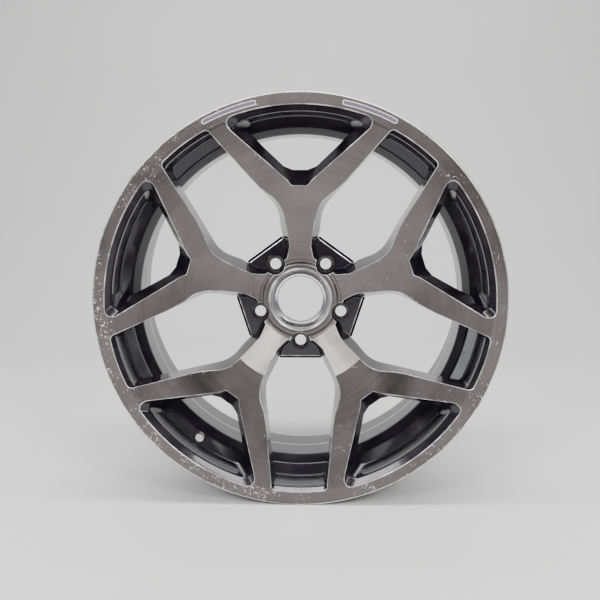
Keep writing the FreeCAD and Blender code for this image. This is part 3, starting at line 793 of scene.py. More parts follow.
def back_region():
    """Triangles of the back of one spoke and its share of the root ring."""
    v_foot = V_OPENING.wall(np.arange(V_LAST), V_OPENING.back, "edge")[-1]
    gap_columns = GAP_OPENING.columns(MOUTH, GAP_LAST - MOUTH)
    gap_foot = GAP_OPENING.wall(gap_columns, GAP_OPENING.back[gap_columns], "edge")[-1]
    half = len(gap_columns) // 2
    inside_rim = BARREL_RADIUS - 0.4

    def until_rim(points):
        flat = flat_of(points)
        return flat[radius_of(flat) < inside_rim]

    gap_right_side = until_rim(turned(gap_foot[half + 1:][::-1], -HALF))
    gap_left_side = until_rim(turned(gap_foot[:half], HALF))
    v_right = until_rim(v_foot[:V_OPENING.middle])
    v_left = until_rim(v_foot[V_OPENING.middle + 1:])
    chord_edge = chord_rows()[-1]
    centre = len(chord_edge) // 2
    chord_right = flat_of(turned(chord_edge[:centre + 1], -HALF))[::-1][:-1]
    chord_left = flat_of(turned(chord_edge[centre:], HALF))[::-1][1:]
    outer = np.concatenate([
        sector_arc(PAD_RADIUS, INNER_STEPS, LEFT, RIGHT),
        chord_right,
        gap_right_side,
        polar_line(*rim_ends(gap_right_side[-1], v_right[-1])),
        v_right[::-1],
        v_left[::-1],
        polar_line(*rim_ends(v_left[0], gap_left_side[-1])),
        gap_left_side[::-1],
        chord_left,
    ])
    radii = [(r, 2.6) for r in np.arange(77.6, 235.0, 2.8)]
    places, faces = filled(outer, [], rings_of_points(radii, RIGHT, LEFT))
    corners = lifted(places, back_depth(radius_of(places)))[faces]
    zone = np.where(radius_of(places[faces].mean(1)) > PAD_SPAN, "spoke", "hub")
    return corners, back_normal(corners), zone


def rim_ends(start, end):
    """Both flat points moved out to the barrel's radius."""
    return [point / np.hypot(*point) * (BARREL_RADIUS - 0.1) for point in (start, end)]


def chord_rows():
    """Rows of the edge of the mounting pad that closes the inner end of a gap."""
    depths = np.linspace(FLOOR_DEPTH, 81.0, 8)
    rows = []
    for depth in depths:
        below = gap_half(max(depth, FLOOR_DEPTH + 0.06))[MOUTH]
        height = float(np.interp(depth, PAD_CHORD[:, 0], PAD_CHORD[:, 1]))
        reach = below[0] if depth > FLOOR_DEPTH else gap_half(FLOOR_DEPTH)[MOUTH][0]
        row = line((-reach, height), (reach, height), 24)
        rows.append(lifted(row, depth))
    top, foot = rows[0], rows[-1]
    inward = np.array([0.0, 0.0, -1.0])
    first = unit(rows[1] - rows[0])
    last = unit(rows[-2] - rows[-1])
    start = bezier(top + inward * TOP_BREAK, top, top + first * TOP_BREAK, 3)
    end = bezier(foot + last * BACK_BREAK, foot, foot + inward * BACK_BREAK, 3)
    return np.array(start + rows[2:-2] + end)


def edge_kinds(rows, edge_rows=4):
    """Kinds for the rows of a wall: worn metal with a painted highlight along its edge break, black
    below.
    """
    return np.where(np.arange(rows - 1) < edge_rows, EDGE, BLACK)


BOSS_SECTIONS = [
    (profile((BOLT_MOUTH, HUB_SETBACK), (BOLT_BORE, 82.2)), EDGE),
    (profile((BOLT_BORE, 82.2), (BOLT_BORE, 80.4), (BOLT_BORE, 78.69)), BLACK),
    (profile((BOLT_BORE, 78.69), (9.3, 75.1), (11.4, BOSS_DEPTH)), SEAT),
    (profile((11.4, BOSS_DEPTH), (12.4, BOSS_DEPTH)), BLACK),
    (profile((12.4, BOSS_DEPTH), (BOSS_RADIUS, 71.9, 0.4, 1, 3)), BLACK),
    (profile((BOSS_RADIUS, 71.9), (BOSS_RADIUS, 74.0), (BOSS_RADIUS, 77.0)), BLACK),
]


def build_disc():
    """One sector's share of each piece; keys are spoke, lip, hub, nose, boss and pad."""
    shells = {name: Shell() for name in ("spoke", "lip", "hub", "nose", "boss", "pad")}
    corners, normals, zone = front_region()
    for name in ("spoke", "lip", "hub", "nose"):
        chosen = zone == name
        shells[name].add(corners[chosen], normals[chosen], FACE)
    corners, normals, zone = back_region()
    for name in ("spoke", "hub"):
        chosen = zone == name
        shells[name].add(corners[chosen], normals[chosen], BLACK)
    # the opening between the arms
    v_inner = V_OPENING.columns(V_LAST - V_MARK, V_MARK)
    v_outer = V_OPENING.columns(V_MARK, V_LAST - V_MARK)
    around = np.arange(V_LAST + 1) % V_LAST
    points = V_OPENING.wall(around, V_OPENING.back[around], "edge")
    normals = grid_normals(points, True)
    add_part(shells["spoke"], points, normals, v_inner)
    add_part(shells["lip"], points, normals, v_outer)
    # the gaps on either side
    side = GAP_OPENING.columns(MOUTH, GAP_LAST - MOUTH)
    points = GAP_OPENING.wall(side, GAP_OPENING.back[side], "edge")
    normals = grid_normals(points)
    first, last = GAP_MARK - MOUTH, len(side) - 1 - (GAP_MARK - MOUTH)
    add_part(shells["spoke"], points, normals, slice(0, first + 1), HALF)
    add_part(shells["lip"], points, normals, slice(first, last + 1), HALF)
    add_part(shells["spoke"], points, normals, slice(last, len(side)), -HALF)
    # the bolt pocket, with its floor and the scallop that clears the wrench
    hub = Shell()
    for begin, end in ((SCALLOP_STEPS, MOUTH), (GAP_LAST - MOUTH, GAP_LAST - SCALLOP_STEPS)):
        points = GAP_OPENING.wall(np.arange(begin, end + 1), FLOOR_DEPTH, "cove")
        hub.grid(points, edge_kinds(len(points)))
    scallop = GAP_OPENING.columns(GAP_LAST - SCALLOP_STEPS, SCALLOP_STEPS)
    points = GAP_OPENING.wall(scallop, BOSS_DEPTH, "plain")
    hub.grid(points, edge_kinds(len(points)))
    ledge = points[-1]
    toward = np.array([0.0, BOSS_DEPTH, BOLT_CIRCLE]) - ledge
    toward[:, 1] = 0.0
    hub.grid(np.array([ledge, ledge + unit(toward) * 1.1]), BLACK)
    add_pocket_floor(hub)
    chord = chord_rows()
    hub.grid(chord, edge_kinds(len(chord), 3))
    shells["hub"].extend(hub, HALF)
    smooth_strips(shells["boss"], BOSS_SECTIONS, np.linspace(360.0, 0.0, 65), BOLT_CIRCLE)
    build_pad(shells["pad"])
    return shells


def add_part(shell, points, normals, columns, degrees=0.0):
    """Some columns of a wall, with the normals that the whole wall has there."""
    shell.grid(
        turned(points[:, columns], degrees), edge_kinds(len(points)),
        normals=turned(normals[:, columns], degrees),
    )


def add_flat(shell, outer, holes, points, depth, facing, kind):
    """Fill a flat region at one depth; facing is -1 on the face side and 1 on the back."""
    places, faces = filled(outer, holes, points)
    shell.add(lifted(places, depth)[faces], [0.0, facing, 0.0], kind)


def add_pocket_floor(shell):
    """The flat floor of a bolt pocket, from its coves to the pad's edge and the boss."""
    right = np.arange(SCALLOP_STEPS, MOUTH + 1)
    left = np.arange(GAP_LAST - MOUTH, GAP_LAST - SCALLOP_STEPS + 1)
    feet = []
    for columns in (right, left):
        rows = GAP_OPENING.wall(columns, FLOOR_DEPTH, "cove")
        feet.append(flat_of(rows[-1]))
    chord = flat_of(chord_rows()[0])[::-1]
    centre = np.array([0.0, BOLT_CIRCLE])
    begin, finish = (math.degrees(math.atan2(*(end - centre)[::-1]))
                     for end in (feet[1][-1], feet[0][0]))
    angles = np.linspace(begin % 360.0, finish, 60)
    boss = polar(np.full(60, BOSS_RADIUS - 0.3), angles) + centre
    outer = np.concatenate([feet[0], chord, feet[1], boss])
    points = rings_of_points([(r, 2.5) for r in np.arange(60.0, 80.0, 2.5)], 60.0, 120.0)
    add_flat(shell, outer, [], points, FLOOR_DEPTH, -1.0, BLACK)


# the relief pocket behind each spoke: inner and outer radius, half its angle, depth of its floor
RELIEF = (44.0, 67.0, 13.0, 73.5)


def build_pad(shell):
    """The mounting pad's back with a weight-saving pocket behind the spoke."""
    low, high, half_angle, floor = RELIEF
    top = HUB_SETBACK
    start, end = 90.0 + half_angle, 90.0 - half_angle
    outline = joined([
        sector_arc(high, 12, start, end),
        line(polar(high, end), polar(low, end), 10),
        sector_arc(low, 12, end, start),
        line(polar(low, start), polar(high, start), 10),
    ])[:-1]
    centre = outline.mean(0)

    def loop(depth, inset):
        return lifted(outline + flat_pull(outline, centre) * inset, depth)

    rows = [loop(top, -0.6), loop(top - 0.15, -0.15), loop(top - 0.6, 0.0)]
    rows += [loop(depth, 0.0) for depth in np.linspace(top - 1.0, floor + 2.0, 5)]
    rows += [loop(floor + 0.6, 0.5), loop(floor, 2.0)]
    shell.grid(np.array(rows), BARE, closed=True)
    add_flat(shell, flat_of(loop(floor, 2.0))[::-1], [], np.array([centre]), floor, 1.0, BARE)
    hole = BOLT_CIRCLE + BOLT_MOUTH * np.array([-1.0, 1.0])
    bolt = polar(BOLT_MOUTH, np.linspace(-90.0, 90.0, 33)) + [0.0, BOLT_CIRCLE]
    right = flat_of(turned(lifted(bolt * [-1.0, 1.0], top), -HALF))
    left = flat_of(turned(lifted(bolt, top), HALF))[::-1]
    outer = np.concatenate([
        sector_arc(31.4, INNER_STEPS, LEFT, RIGHT),
        polar(np.linspace(34.5, hole[0] - 3.0, 5), RIGHT),
        right,
        polar(np.array([hole[1] + 3.0]), RIGHT),
        sector_arc(74.6, INNER_STEPS),
        polar(np.array([hole[1] + 3.0]), LEFT),
        left,
        polar(np.linspace(hole[0] - 3.0, 34.5, 5), LEFT),
    ])
    points = rings_of_points([(r, 3.0) for r in np.arange(34.0, 73.0, 2.6)], RIGHT, LEFT)
    add_flat(shell, outer, [flat_of(loop(top, -0.6))], points, top, 1.0, BARE)


def flat_pull(points, centre):
    """Directions from the points of a convex outline towards its middle, edge by edge."""
    ahead = np.roll(points, -1, 0) - np.roll(points, 1, 0)
    normal = np.stack([ahead[:, 1], -ahead[:, 0]], 1)
    normal /= np.hypot(*normal.T)[:, None]
    sign = np.sign(((centre - points) * normal).sum(1))[:, None]
    return normal * sign


# ------------------------------------------------------------------ turned rings and hub parts


def rounded(points, bends, count=6):
    """A polyline with its inner corners rounded and its long stretches divided."""
    rounds = [line_corner(before, (*corner, bend), after, count)
              for before, corner, after, bend in zip(points, points[1:], points[2:], bends)]
    return dense(np.concatenate([points[:1], *rounds, points[-1:]]))


def dense(points, longest=6.0):
    """The same polyline with its long stretches divided."""
    parts = [points[:1]]
    for start, end in zip(points, points[1:]):
        count = max(1, int(math.ceil(math.hypot(*(end - start)) / longest)))
        parts.append(line(start, end, count)[1:])
    return np.concatenate(parts)


# angles of the columns of the whole rings, the lip and the hub's parts
RING_ANGLES = 90.0 + HALF - np.arange(361)
DISC_ANGLES = RIGHT + SECTOR / OUTER_STEPS * np.arange(SPOKES * OUTER_STEPS, -1, -1)
HUB_ANGLES = RIGHT + SECTOR / INNER_STEPS * np.arange(SPOKES * INNER_STEPS, -1, -1)

# radii of the rim beside its humps and at the flanges' feet
HUMP_FOOT = 240.1
BEAD = 241.3
# the closed section of each ring as (radius, depth), in strips that meet at sharp corners
RING_SECTIONS = {
    "outboard_bead_seat": [
        profile((BEAD, 19.0), (240.7, 26.0), (HUMP_FOOT, 33.0)),
        profile((HUMP_FOOT, 33.0), (HUMP_FOOT, 41.0, 7.5, 1, 8), (HUMP_FOOT, 47.0)),
        dense(profile((HUMP_FOOT, 47.0), (BARREL_RADIUS, 47.0))),
        dense(profile((BARREL_RADIUS, 47.0), (BARREL_RADIUS, 19.0))),
        dense(profile((BARREL_RADIUS, 19.0), (BEAD, 19.0))),
    ],
    "drop_centre": [
        rounded(
            [(HUMP_FOOT, 47.0), (HUMP_FOOT, 48.9), (227.0, 60.65), (220.0, 74.65),
             (220.0, 110.0), (221.2, 116.0)],
            [1.5, 8.0, 9.0, 20.0],
        ),
        profile((221.2, 116.0), (216.7, 116.0)),
        rounded(
            [(216.7, 116.0), (215.5, 110.0), (215.5, 74.0), (223.5, 58.0), (BARREL_RADIUS, 47.0)],
            [20.0, 9.0, 11.0],
        ),
        profile((BARREL_RADIUS, 47.0), (HUMP_FOOT, 47.0)),
    ],
    "inner_barrel": [
        rounded(
            [(221.2, 116.0), (239.6, 150.0), (HUMP_FOOT, 156.0), (HUMP_FOOT, 203.0)], [14.0, 30.0]
        ),
        profile((HUMP_FOOT, 203.0), (BARREL_RADIUS, 203.0)),
        rounded(
            [(BARREL_RADIUS, 203.0), (BARREL_RADIUS, 156.0), (235.1, 150.0), (216.7, 116.0)],
            [30.0, 14.0],
        ),
        profile((216.7, 116.0), (221.2, 116.0)),
    ],
    "inboard_bead_seat": [
        profile((HUMP_FOOT, 203.0), (HUMP_FOOT, 211.0, 7.5, 1, 8)),
        profile((HUMP_FOOT, 211.0), (240.7, 216.0), (BEAD, 222.0)),
        profile((BEAD, 222.0), (237.8, 222.0)),
        rounded([(237.8, 222.0), (BARREL_RADIUS, 213.0), (BARREL_RADIUS, 203.0)], [14.0]),
        profile((BARREL_RADIUS, 203.0), (HUMP_FOOT, 203.0)),
    ],
    "inboard_flange": [
        profile(
            (BEAD, 222.0), (247.8, 228.5, 6.5, -1, 8), (249.6, 228.5),
            (FLANGE_RADIUS, 237.5, 9.0, 1, 10), (FLANGE_RADIUS, 238.6),
            (256.2, 241.0, 2.4, 1, 6), (248.6, 241.0), (247.7, 240.7), (244.5, 237.5),
            (243.9, 236.2), (237.8, 222.0),
        ),
        profile((237.8, 222.0), (BEAD, 222.0)),
    ],
}


def build_rings():
    """The rings behind the disc, each a closed section turned about the axis."""
    shells = {}
    for name, sections in RING_SECTIONS.items():
        shells[name] = Shell()
        smooth_strips(shells[name], [(section, BLACK) for section in sections], RING_ANGLES)
    return shells


# sections of the lip and of the hub's parts, as (radius, depth)
LIP_SECTION = profile(
    (LIP_EDGE, 0.0), (FLANGE_RADIUS, 2.4, 2.4, 1, 6), (FLANGE_RADIUS, 3.5),
    (249.6, 12.5, 9.0, 1, 10), (247.8, 12.5), (BEAD, 19.0, 6.5, -1, 8),
)
# the lip's outer round takes the bright edge paint, a painted highlight line along it as well as
# wear
LIP_KINDS = [FACE] + [EDGE] * 3 + [FACE] * 2 + [BLACK] * 20
HUB_SECTIONS = {
    "nose": [
        (profile((38.2, 61.8), (38.2, 61.0)), BARE),
        (profile((38.2, 61.0), CREST + (4.2, 1, 8)), EDGE),
    ],
    "cap": [
        (profile((PAD_BORE, 69.6), (CAP_BORE, 69.0)), BARE),
        (profile((CAP_BORE, 69.0), (CAP_BORE, 67.5), (CAP_BORE, 66.0)), BARE),
        (profile((CAP_BORE, 66.0), (35.6, 63.9), (37.6, 61.8)), BARE),
        (profile((37.6, 61.8), (38.2, 61.8)), BARE),
    ],
    "sleeve": [
        (profile((PAD_BORE, 82.2), (HUB_BORE, 81.5)), BARE),
        (profile((HUB_BORE, 81.5), (HUB_BORE, 76.0), (HUB_BORE, 70.7)), BARE),
        (profile((HUB_BORE, 70.7), (PAD_BORE, 69.6)), BARE),
    ],
    "pad": [
        (profile((PAD_RADIUS, 81.0), (PAD_RADIUS, 82.1)), BLACK),
        (profile((PAD_RADIUS, 82.1), (74.6, HUB_SETBACK)), EDGE),
        (profile((31.4, HUB_SETBACK), (PAD_BORE, 82.2)), EDGE),
    ],
}


def build_hub_parts(disc):
    """Every piece of the hub but the bosses, and the lip, each made of five sectors."""
    shells = {name: Shell() for name in ("lip", "hub", "nose", "pad", "cap", "sleeve")}
    for name in ("lip", "hub", "nose", "pad"):
        for number in range(SPOKES):
            shells[name].extend(disc[name], number * SECTOR)
    turned_strip(shells["lip"], LIP_SECTION, LIP_KINDS, DISC_ANGLES)
    for name, sections in HUB_SECTIONS.items():
        smooth_strips(shells[name], sections, HUB_ANGLES)
    return shells


# ------------------------------------------------------------------ materials


class Paint:
    """A node-based material; each call adds one node and gives back its output."""

    def __init__(self, name, **values):
        self.material = bpy.data.materials.new(name)
        self.material.use_nodes = True
        self.tree = self.material.node_tree
        self.shader = self.tree.nodes["Principled BSDF"]
        for key, value in values.items():
            socket = key.replace("_", " ").title().replace("Ior", "IOR")
            self.shader.inputs[socket].default_value = value
        place = self.add("ShaderNodeTexCoord").outputs["Object"]
        self.place = self.vector("SCALE", place, scale=1000.0)
        self.flat = self.vector("MULTIPLY", self.place, (1.0, 0.0, 1.0))
        self.radius = self.add("ShaderNodeVectorMath", self.flat, operation="LENGTH").outputs[1]
        self.away = self.vector("NORMALIZE", self.flat)
        parts = self.add("ShaderNodeSeparateXYZ", self.place)
        self.across, _, self.height = parts.outputs

    def add(self, kind, *values, **settings):
        node = self.tree.nodes.new(kind)
        for key, value in settings.items():
            setattr(node, key, value)
        for socket, value in zip(node.inputs, values):
            self.put(value, socket)
        return node

    def put(self, value, socket):
        """Link a node's output to a socket, or set the socket to a plain value."""
        if isinstance(value, bpy.types.NodeSocket):
            self.tree.links.new(value, socket)
        elif value is not None:
            socket.default_value = value

    def vector(self, operation, first, second=None, scale=None):
        node = self.add("ShaderNodeVectorMath", first, second, operation=operation)
        if scale is not None:
            node.inputs[3].default_value = scale
        return node.outputs[0]

    def math(self, operation, first, second=None):
        return self.add("ShaderNodeMath", first, second, operation=operation).outputs[0]

    def plus(self, first, second):
        return self.math("ADD", first, second)

    def times(self, first, second):
        return self.math("MULTIPLY", first, second)

    def spread(self, value, start, end, low=0.0, high=1.0):
        """A value from start to end stretched to the range from low to high, and held there."""
        return self.add("ShaderNodeMapRange", value, start, end, low, high).outputs[0]

    def lathe(self, across, around):
        """Coordinates that change fast across the turning marks and slowly along them."""
        lift = self.add("ShaderNodeCombineXYZ", 0.0, self.times(self.radius, across))
        return self.vector("ADD", self.vector("SCALE", self.away, scale=around), lift.outputs[0])

    def noise(self, place, scale=1.0, detail=2.0, roughness=0.5):
        node = self.add("ShaderNodeTexNoise", place)
        for socket, value in (("Scale", scale), ("Detail", detail), ("Roughness", roughness)):
            node.inputs[socket].default_value = value
        return node.outputs[0]

    def blend(self, share, first, second):
        node = self.add("ShaderNodeMix", data_type="RGBA")
        for value, place in ((share, 0), (first, 6), (second, 7)):
            self.put(value, node.inputs[place])
        return node.outputs[2]

    def blend_value(self, share, first, second):
        return self.add("ShaderNodeMix", share, None, first, second).outputs[0]

    def chips(self, density, scale, size):
        """Small irregular spots, more and larger where density is high."""
        node = self.add("ShaderNodeTexNoise", self.place)
        node.inputs["Scale"].default_value = scale * 1.7
        shaken = self.vector(
            "ADD", self.place, self.vector("SCALE", node.outputs[1], scale=1.2 / scale)
        )
        cells = self.add("ShaderNodeTexVoronoi", shaken)
        cells.inputs["Scale"].default_value = scale
        pick = self.add("ShaderNodeSeparateColor", cells.outputs["Color"]).outputs[0]
        reach = self.times(self.times(self.math("POWER", pick, 8.0), density), size)
        return self.spread(self.math("SUBTRACT", reach, cells.outputs["Distance"]), 0.0, 0.06)

    def bump(self, height, strength, distance):
        node = self.add("ShaderNodeBump", strength, distance)
        self.put(height, node.inputs["Height"])
        return node.outputs[0]

    def turned_marks(self):
        """Stretch highlights across the turning marks."""
        node = self.add("ShaderNodeTangent", direction_type="RADIAL", axis="Y")
        self.put(node.outputs[0], self.shader.inputs["Tangent"])

    def finish(self, colour, roughness, normal):
        for value, socket in ((colour, "Base Color"), (roughness, "Roughness"), (normal, "Normal")):
            self.put(value, self.shader.inputs[socket])
        return self.material


def rgb(red, green, blue):
    return (red, green, blue, 1.0)


def wear_share(paint):
    """How worn the wheel is at a place: most on the lip, and there low on the left."""
    lip = paint.spread(paint.radius, 226.0, 250.0, 0.10, 1.0)
    lean = paint.plus(paint.times(paint.across, 0.8), paint.times(paint.height, 0.6))
    side = paint.spread(lean, 190.0, -170.0, 0.35, 1.0)
    patch = paint.spread(paint.noise(paint.place, 0.03, 2.0), 0.35, 0.62, 0.2, 1.15)
    return paint.times(paint.times(lip, side), patch)


def machined_face():
    paint = Paint("machined_face", metallic=1.0, anisotropic=0.7, coat_weight=0.25,
                  coat_roughness=0.10)
    paint.turned_marks()
    fine = paint.noise(paint.lathe(1.3, 0.5), 1.0, 3.0, 0.6)
    broad = paint.noise(paint.lathe(0.12, 0.6), 1.0, 2.0, 0.5)
    smudge = paint.noise(paint.place, 0.022, 4.0, 0.6)
    tone = paint.plus(paint.times(fine, 0.3), paint.times(broad, 0.2))
    tone = paint.plus(tone, paint.times(smudge, 0.5))
    colour = paint.blend(
        paint.spread(tone, 0.32, 0.68), rgb(0.102, 0.088, 0.087), rgb(0.172, 0.152, 0.150)
    )
    wear = wear_share(paint)
    marks = paint.chips(wear, 0.5, 1.0)
    specks = paint.chips(wear, 1.1, 0.75)
    scuffs = paint.spread(paint.noise(paint.lathe(1.5, 14.0), 1.0, 2.0, 0.4), 0.73, 0.79)
    scuffs = paint.times(scuffs, paint.spread(wear, 0.1, 0.8, 0.1, 0.7))
    strokes = paint.vector("MULTIPLY", paint.place, (0.9, 0.2, 0.16))
    strokes = paint.spread(paint.noise(strokes, 1.0, 1.0, 0.4), 0.755, 0.78)
    slanted = paint.vector("MULTIPLY", paint.place, (0.15, 0.2, 0.8))
    slanted = paint.spread(paint.noise(slanted, 1.0, 1.0, 0.4), 0.765, 0.79)
    strokes = paint.math("MAXIMUM", strokes, slanted)
    patches = paint.spread(paint.noise(paint.place, 0.028, 2.0), 0.52, 0.60)
    strokes = paint.times(strokes, patches)
    chipped = paint.math("MAXIMUM", marks, specks)
    colour = paint.blend(chipped, colour, rgb(0.64, 0.59, 0.56))
    scratched = paint.math("MAXIMUM", scuffs, strokes)
    colour = paint.blend(scratched, colour, rgb(0.90, 0.88, 0.86))
    bare = paint.math("MAXIMUM", chipped, scratched)
    rough = paint.spread(paint.plus(fine, smudge), 0.7, 1.3, 0.27, 0.37)
    rough = paint.blend_value(bare, rough, 0.5)
    height = paint.math("SUBTRACT", paint.times(fine, 0.08), bare)
    return paint.finish(colour, rough, paint.bump(height, 0.3, 0.0001))


def gloss_black():
    paint = Paint("gloss_black", metallic=0.0, specular_ior_level=0.4, coat_weight=0.25,
                  coat_roughness=0.04)
    haze = paint.noise(paint.place, 0.035, 4.0, 0.6)
    dust = paint.noise(paint.lathe(0.25, 1.5), 1.0, 3.0, 0.6)
    film = paint.times(paint.spread(haze, 0.40, 0.80), paint.spread(dust, 0.3, 0.8))
    colour = paint.blend(film, rgb(0.008, 0.006, 0.011), rgb(0.034, 0.028, 0.036))
    specks = paint.chips(paint.spread(haze, 0.4, 0.7, 0.0, 0.6), 0.5, 0.5)
    colour = paint.blend(specks, colour, rgb(0.30, 0.28, 0.29))
    rough = paint.spread(haze, 0.3, 0.7, 0.12, 0.24)
    peel = paint.noise(paint.place, 0.22, 2.0)
    return paint.finish(colour, rough, paint.bump(peel, 0.04, 0.0002))


# Bright metal on the edge breaks: partly real wear, and partly a painted highlight for the light
# that rounded edges catch. It is brighter still towards the lip's outer edge.
def worn_edge_and_painted_highlight():
    paint = Paint("worn_edge_and_painted_highlight", metallic=1.0)
    lip = paint.spread(paint.radius, 246.0, 254.0, 0.0, 0.10)
    rubbing_and_painted_highlight = paint.noise(paint.place, 0.045, 5.0, 0.6)
    bright = paint.spread(paint.plus(rubbing_and_painted_highlight, lip), 0.42, 0.63)
    colour = paint.blend(bright, rgb(0.29, 0.27, 0.26), rgb(0.80, 0.79, 0.78))
    rough = paint.spread(rubbing_and_painted_highlight, 0.3, 0.7, 0.40, 0.26)
    return paint.finish(colour, rough, paint.bump(rubbing_and_painted_highlight, 0.1, 0.0002))


def bare_alloy():
    paint = Paint("bare_alloy", metallic=1.0, anisotropic=0.4)
    paint.turned_marks()
    fine = paint.noise(paint.lathe(2.0, 0.3), 1.0, 2.0, 0.6)
    smudge = paint.noise(paint.place, 0.05, 3.0, 0.6)
    colour = paint.blend(smudge, rgb(0.62, 0.62, 0.64), rgb(0.84, 0.84, 0.85))
    rough = paint.spread(paint.plus(fine, smudge), 0.7, 1.3, 0.10, 0.20)
    return paint.finish(colour, rough, paint.bump(fine, 0.04, 0.0001))


def worn_seat():
    paint = Paint("worn_seat", metallic=0.6, specular_ior_level=0.5)
    ring = paint.noise(paint.place, 0.35, 3.0, 0.6)
    colour = paint.blend(
        paint.spread(ring, 0.4, 0.65), rgb(0.030, 0.025, 0.030), rgb(0.115, 0.10, 0.108)
    )
    return paint.finish(colour, paint.spread(ring, 0.3, 0.7, 0.22, 0.38), None)


def stripe_fill():
    paint = Paint("stripe_fill", metallic=0.2, coat_weight=0.1)
    grain = paint.noise(paint.lathe(0.8, 5.0), 1.0, 3.0, 0.6)
    wear = wear_share(paint)
    colour = paint.blend(grain, rgb(0.115, 0.085, 0.135), rgb(0.19, 0.155, 0.22))
    colour = paint.blend(paint.chips(wear, 0.8, 0.9), colour, rgb(0.85, 0.84, 0.84))
    return paint.finish(colour, paint.spread(grain, 0.3, 0.7, 0.3, 0.42), None)


def stripe_outline():
    paint = Paint("stripe_outline", metallic=0.0)
    grain = paint.noise(paint.place, 0.35, 3.0, 0.6)
    colour = paint.blend(paint.spread(grain, 0.35, 0.6), rgb(0.70, 0.67, 0.72), rgb(0.9, 0.9, 0.92))
    return paint.finish(colour, paint.spread(grain, 0.3, 0.7, 0.35, 0.5), None)


MATERIALS = [machined_face(), gloss_black(), worn_edge_and_painted_highlight(), bare_alloy(), worn_seat()]
STRIPE_MATERIALS = [stripe_fill(), stripe_outline()]


def add_piece(name, shell, node, degrees=0.0, materials=MATERIALS):
    """Put a shell in the scene in place of the CAD node that it stands for."""
    whole_shell = Shell()
    whole_shell.extend(shell, degrees)
    piece = new_object(name, whole_shell.mesh(name))
    for material in materials:
        piece.data.materials.append(material)
    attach(piece, "root")
    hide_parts(node)
    return piece


# the valve hole: its angle, its middle as (radius, depth) and the steps round it
VALVE_ANGLE = 234.0
VALVE_MIDDLE = (230.6, 51.65)
VALVE_STEPS = 72
# the cutter's section as (radius, distance along the hole), with a countersink at each side
VALVE_SECTION = [(0.0, -12.0), (7.4, -12.0), (6.5, -0.3), (5.65, 0.6), (5.65, 3.9), (6.4, 4.6),
                 (7.0, 16.0), (0.0, 16.0)]
# where the drop centre's slope starts and ends, as (radius, depth)
SLOPE_START, SLOPE_END = (BARREL_RADIUS, 47.0), (223.5, 58.0)


def drill_valve_hole(piece):
    """Cut the valve hole, square to the slope of the drop centre that it goes through."""
    angle = math.radians(VALVE_ANGLE)
    out = Vector((math.cos(angle), 0.0, math.sin(angle)))
    across, along = SLOPE_START[0] - SLOPE_END[0], SLOPE_END[1] - SLOPE_START[1]
    direction = (out * along + Vector((0.0, across, 0.0))).normalized()
    middle = out * VALVE_MIDDLE[0] + Vector((0.0, VALVE_MIDDLE[1] - HUB_SETBACK, 0.0))
    side = direction.orthogonal().normalized()
    other = direction.cross(side)
    turns = np.arange(VALVE_STEPS) * 2.0 * math.pi / VALVE_STEPS
    points = [
        (middle + direction * height
         + (side * math.cos(turn) + other * math.sin(turn)) * radius) * 0.001
        for radius, height in VALVE_SECTION for turn in turns
    ]
    step = np.arange(VALVE_STEPS)
    ahead = np.roll(step, -1)
    ring = np.stack([step, ahead, VALVE_STEPS + ahead, VALVE_STEPS + step], 1)
    faces = [ring + VALVE_STEPS * row for row in range(len(VALVE_SECTION) - 1)]
    mesh = new_mesh("valve_cutter", points, np.concatenate(faces).tolist())
    mesh.validate()
    cutter = new_object("valve_cutter", mesh)
    cutting = piece.modifiers.new("valve_hole", "BOOLEAN")
    cutting.object = cutter
    cutting.operation = "DIFFERENCE"
    cutting.solver = "EXACT"
    bpy.context.view_layer.update()
    graph = bpy.context.evaluated_depsgraph_get()
    made = bpy.data.meshes.new_from_object(piece.evaluated_get(graph))
    piece.modifiers.clear()
    piece.data = made
    bpy.data.objects.remove(cutter)
    made.set_sharp_from_angle(angle=math.radians(28.0))


# the stripes: middle radius, half their width, the ends as lengths from the top, the width of
# the outline, the depths of their two sides, and the steps round a corner
STRIPE_RADIUS = 250.5
STRIPE_HALF = 3.0
STRIPE_ENDS = (math.radians(12.0) * STRIPE_RADIUS, math.radians(28.0) * STRIPE_RADIUS)
OUTLINE_WIDTH = 0.85
STRIPE_TOP = -0.05
STRIPE_UNDER = 0.25
CORNER_STEPS = 8


def stripe_loop(inset):
    """A stripe's outline as (along, across); the end near the top is squarer than the far end."""
    near, far = STRIPE_ENDS
    wide = STRIPE_HALF - inset
    parts = []
    for end, bend, way in (
        (far - inset, 2.8 - inset, 1.0), (near + inset, 1.6 - inset / 2, -1.0),
    ):
        bend = min(bend, wide)
        start, level = end - way * bend, way * (wide - bend)
        parts += [
            swept((start, level), (start, way * wide), (end, level), CORNER_STEPS),
            swept((start, -level), (end, -level), (start, -way * wide), CORNER_STEPS),
        ]
    share = np.linspace(0.0, 1.0, 42)[1:-1, None]
    sides = [first[-1] * (1.0 - share) + second[0] * share
             for first, second in ((parts[1], parts[2]), (parts[3], parts[0]))]
    return np.concatenate([*parts[:2], sides[0], *parts[2:], sides[1]])


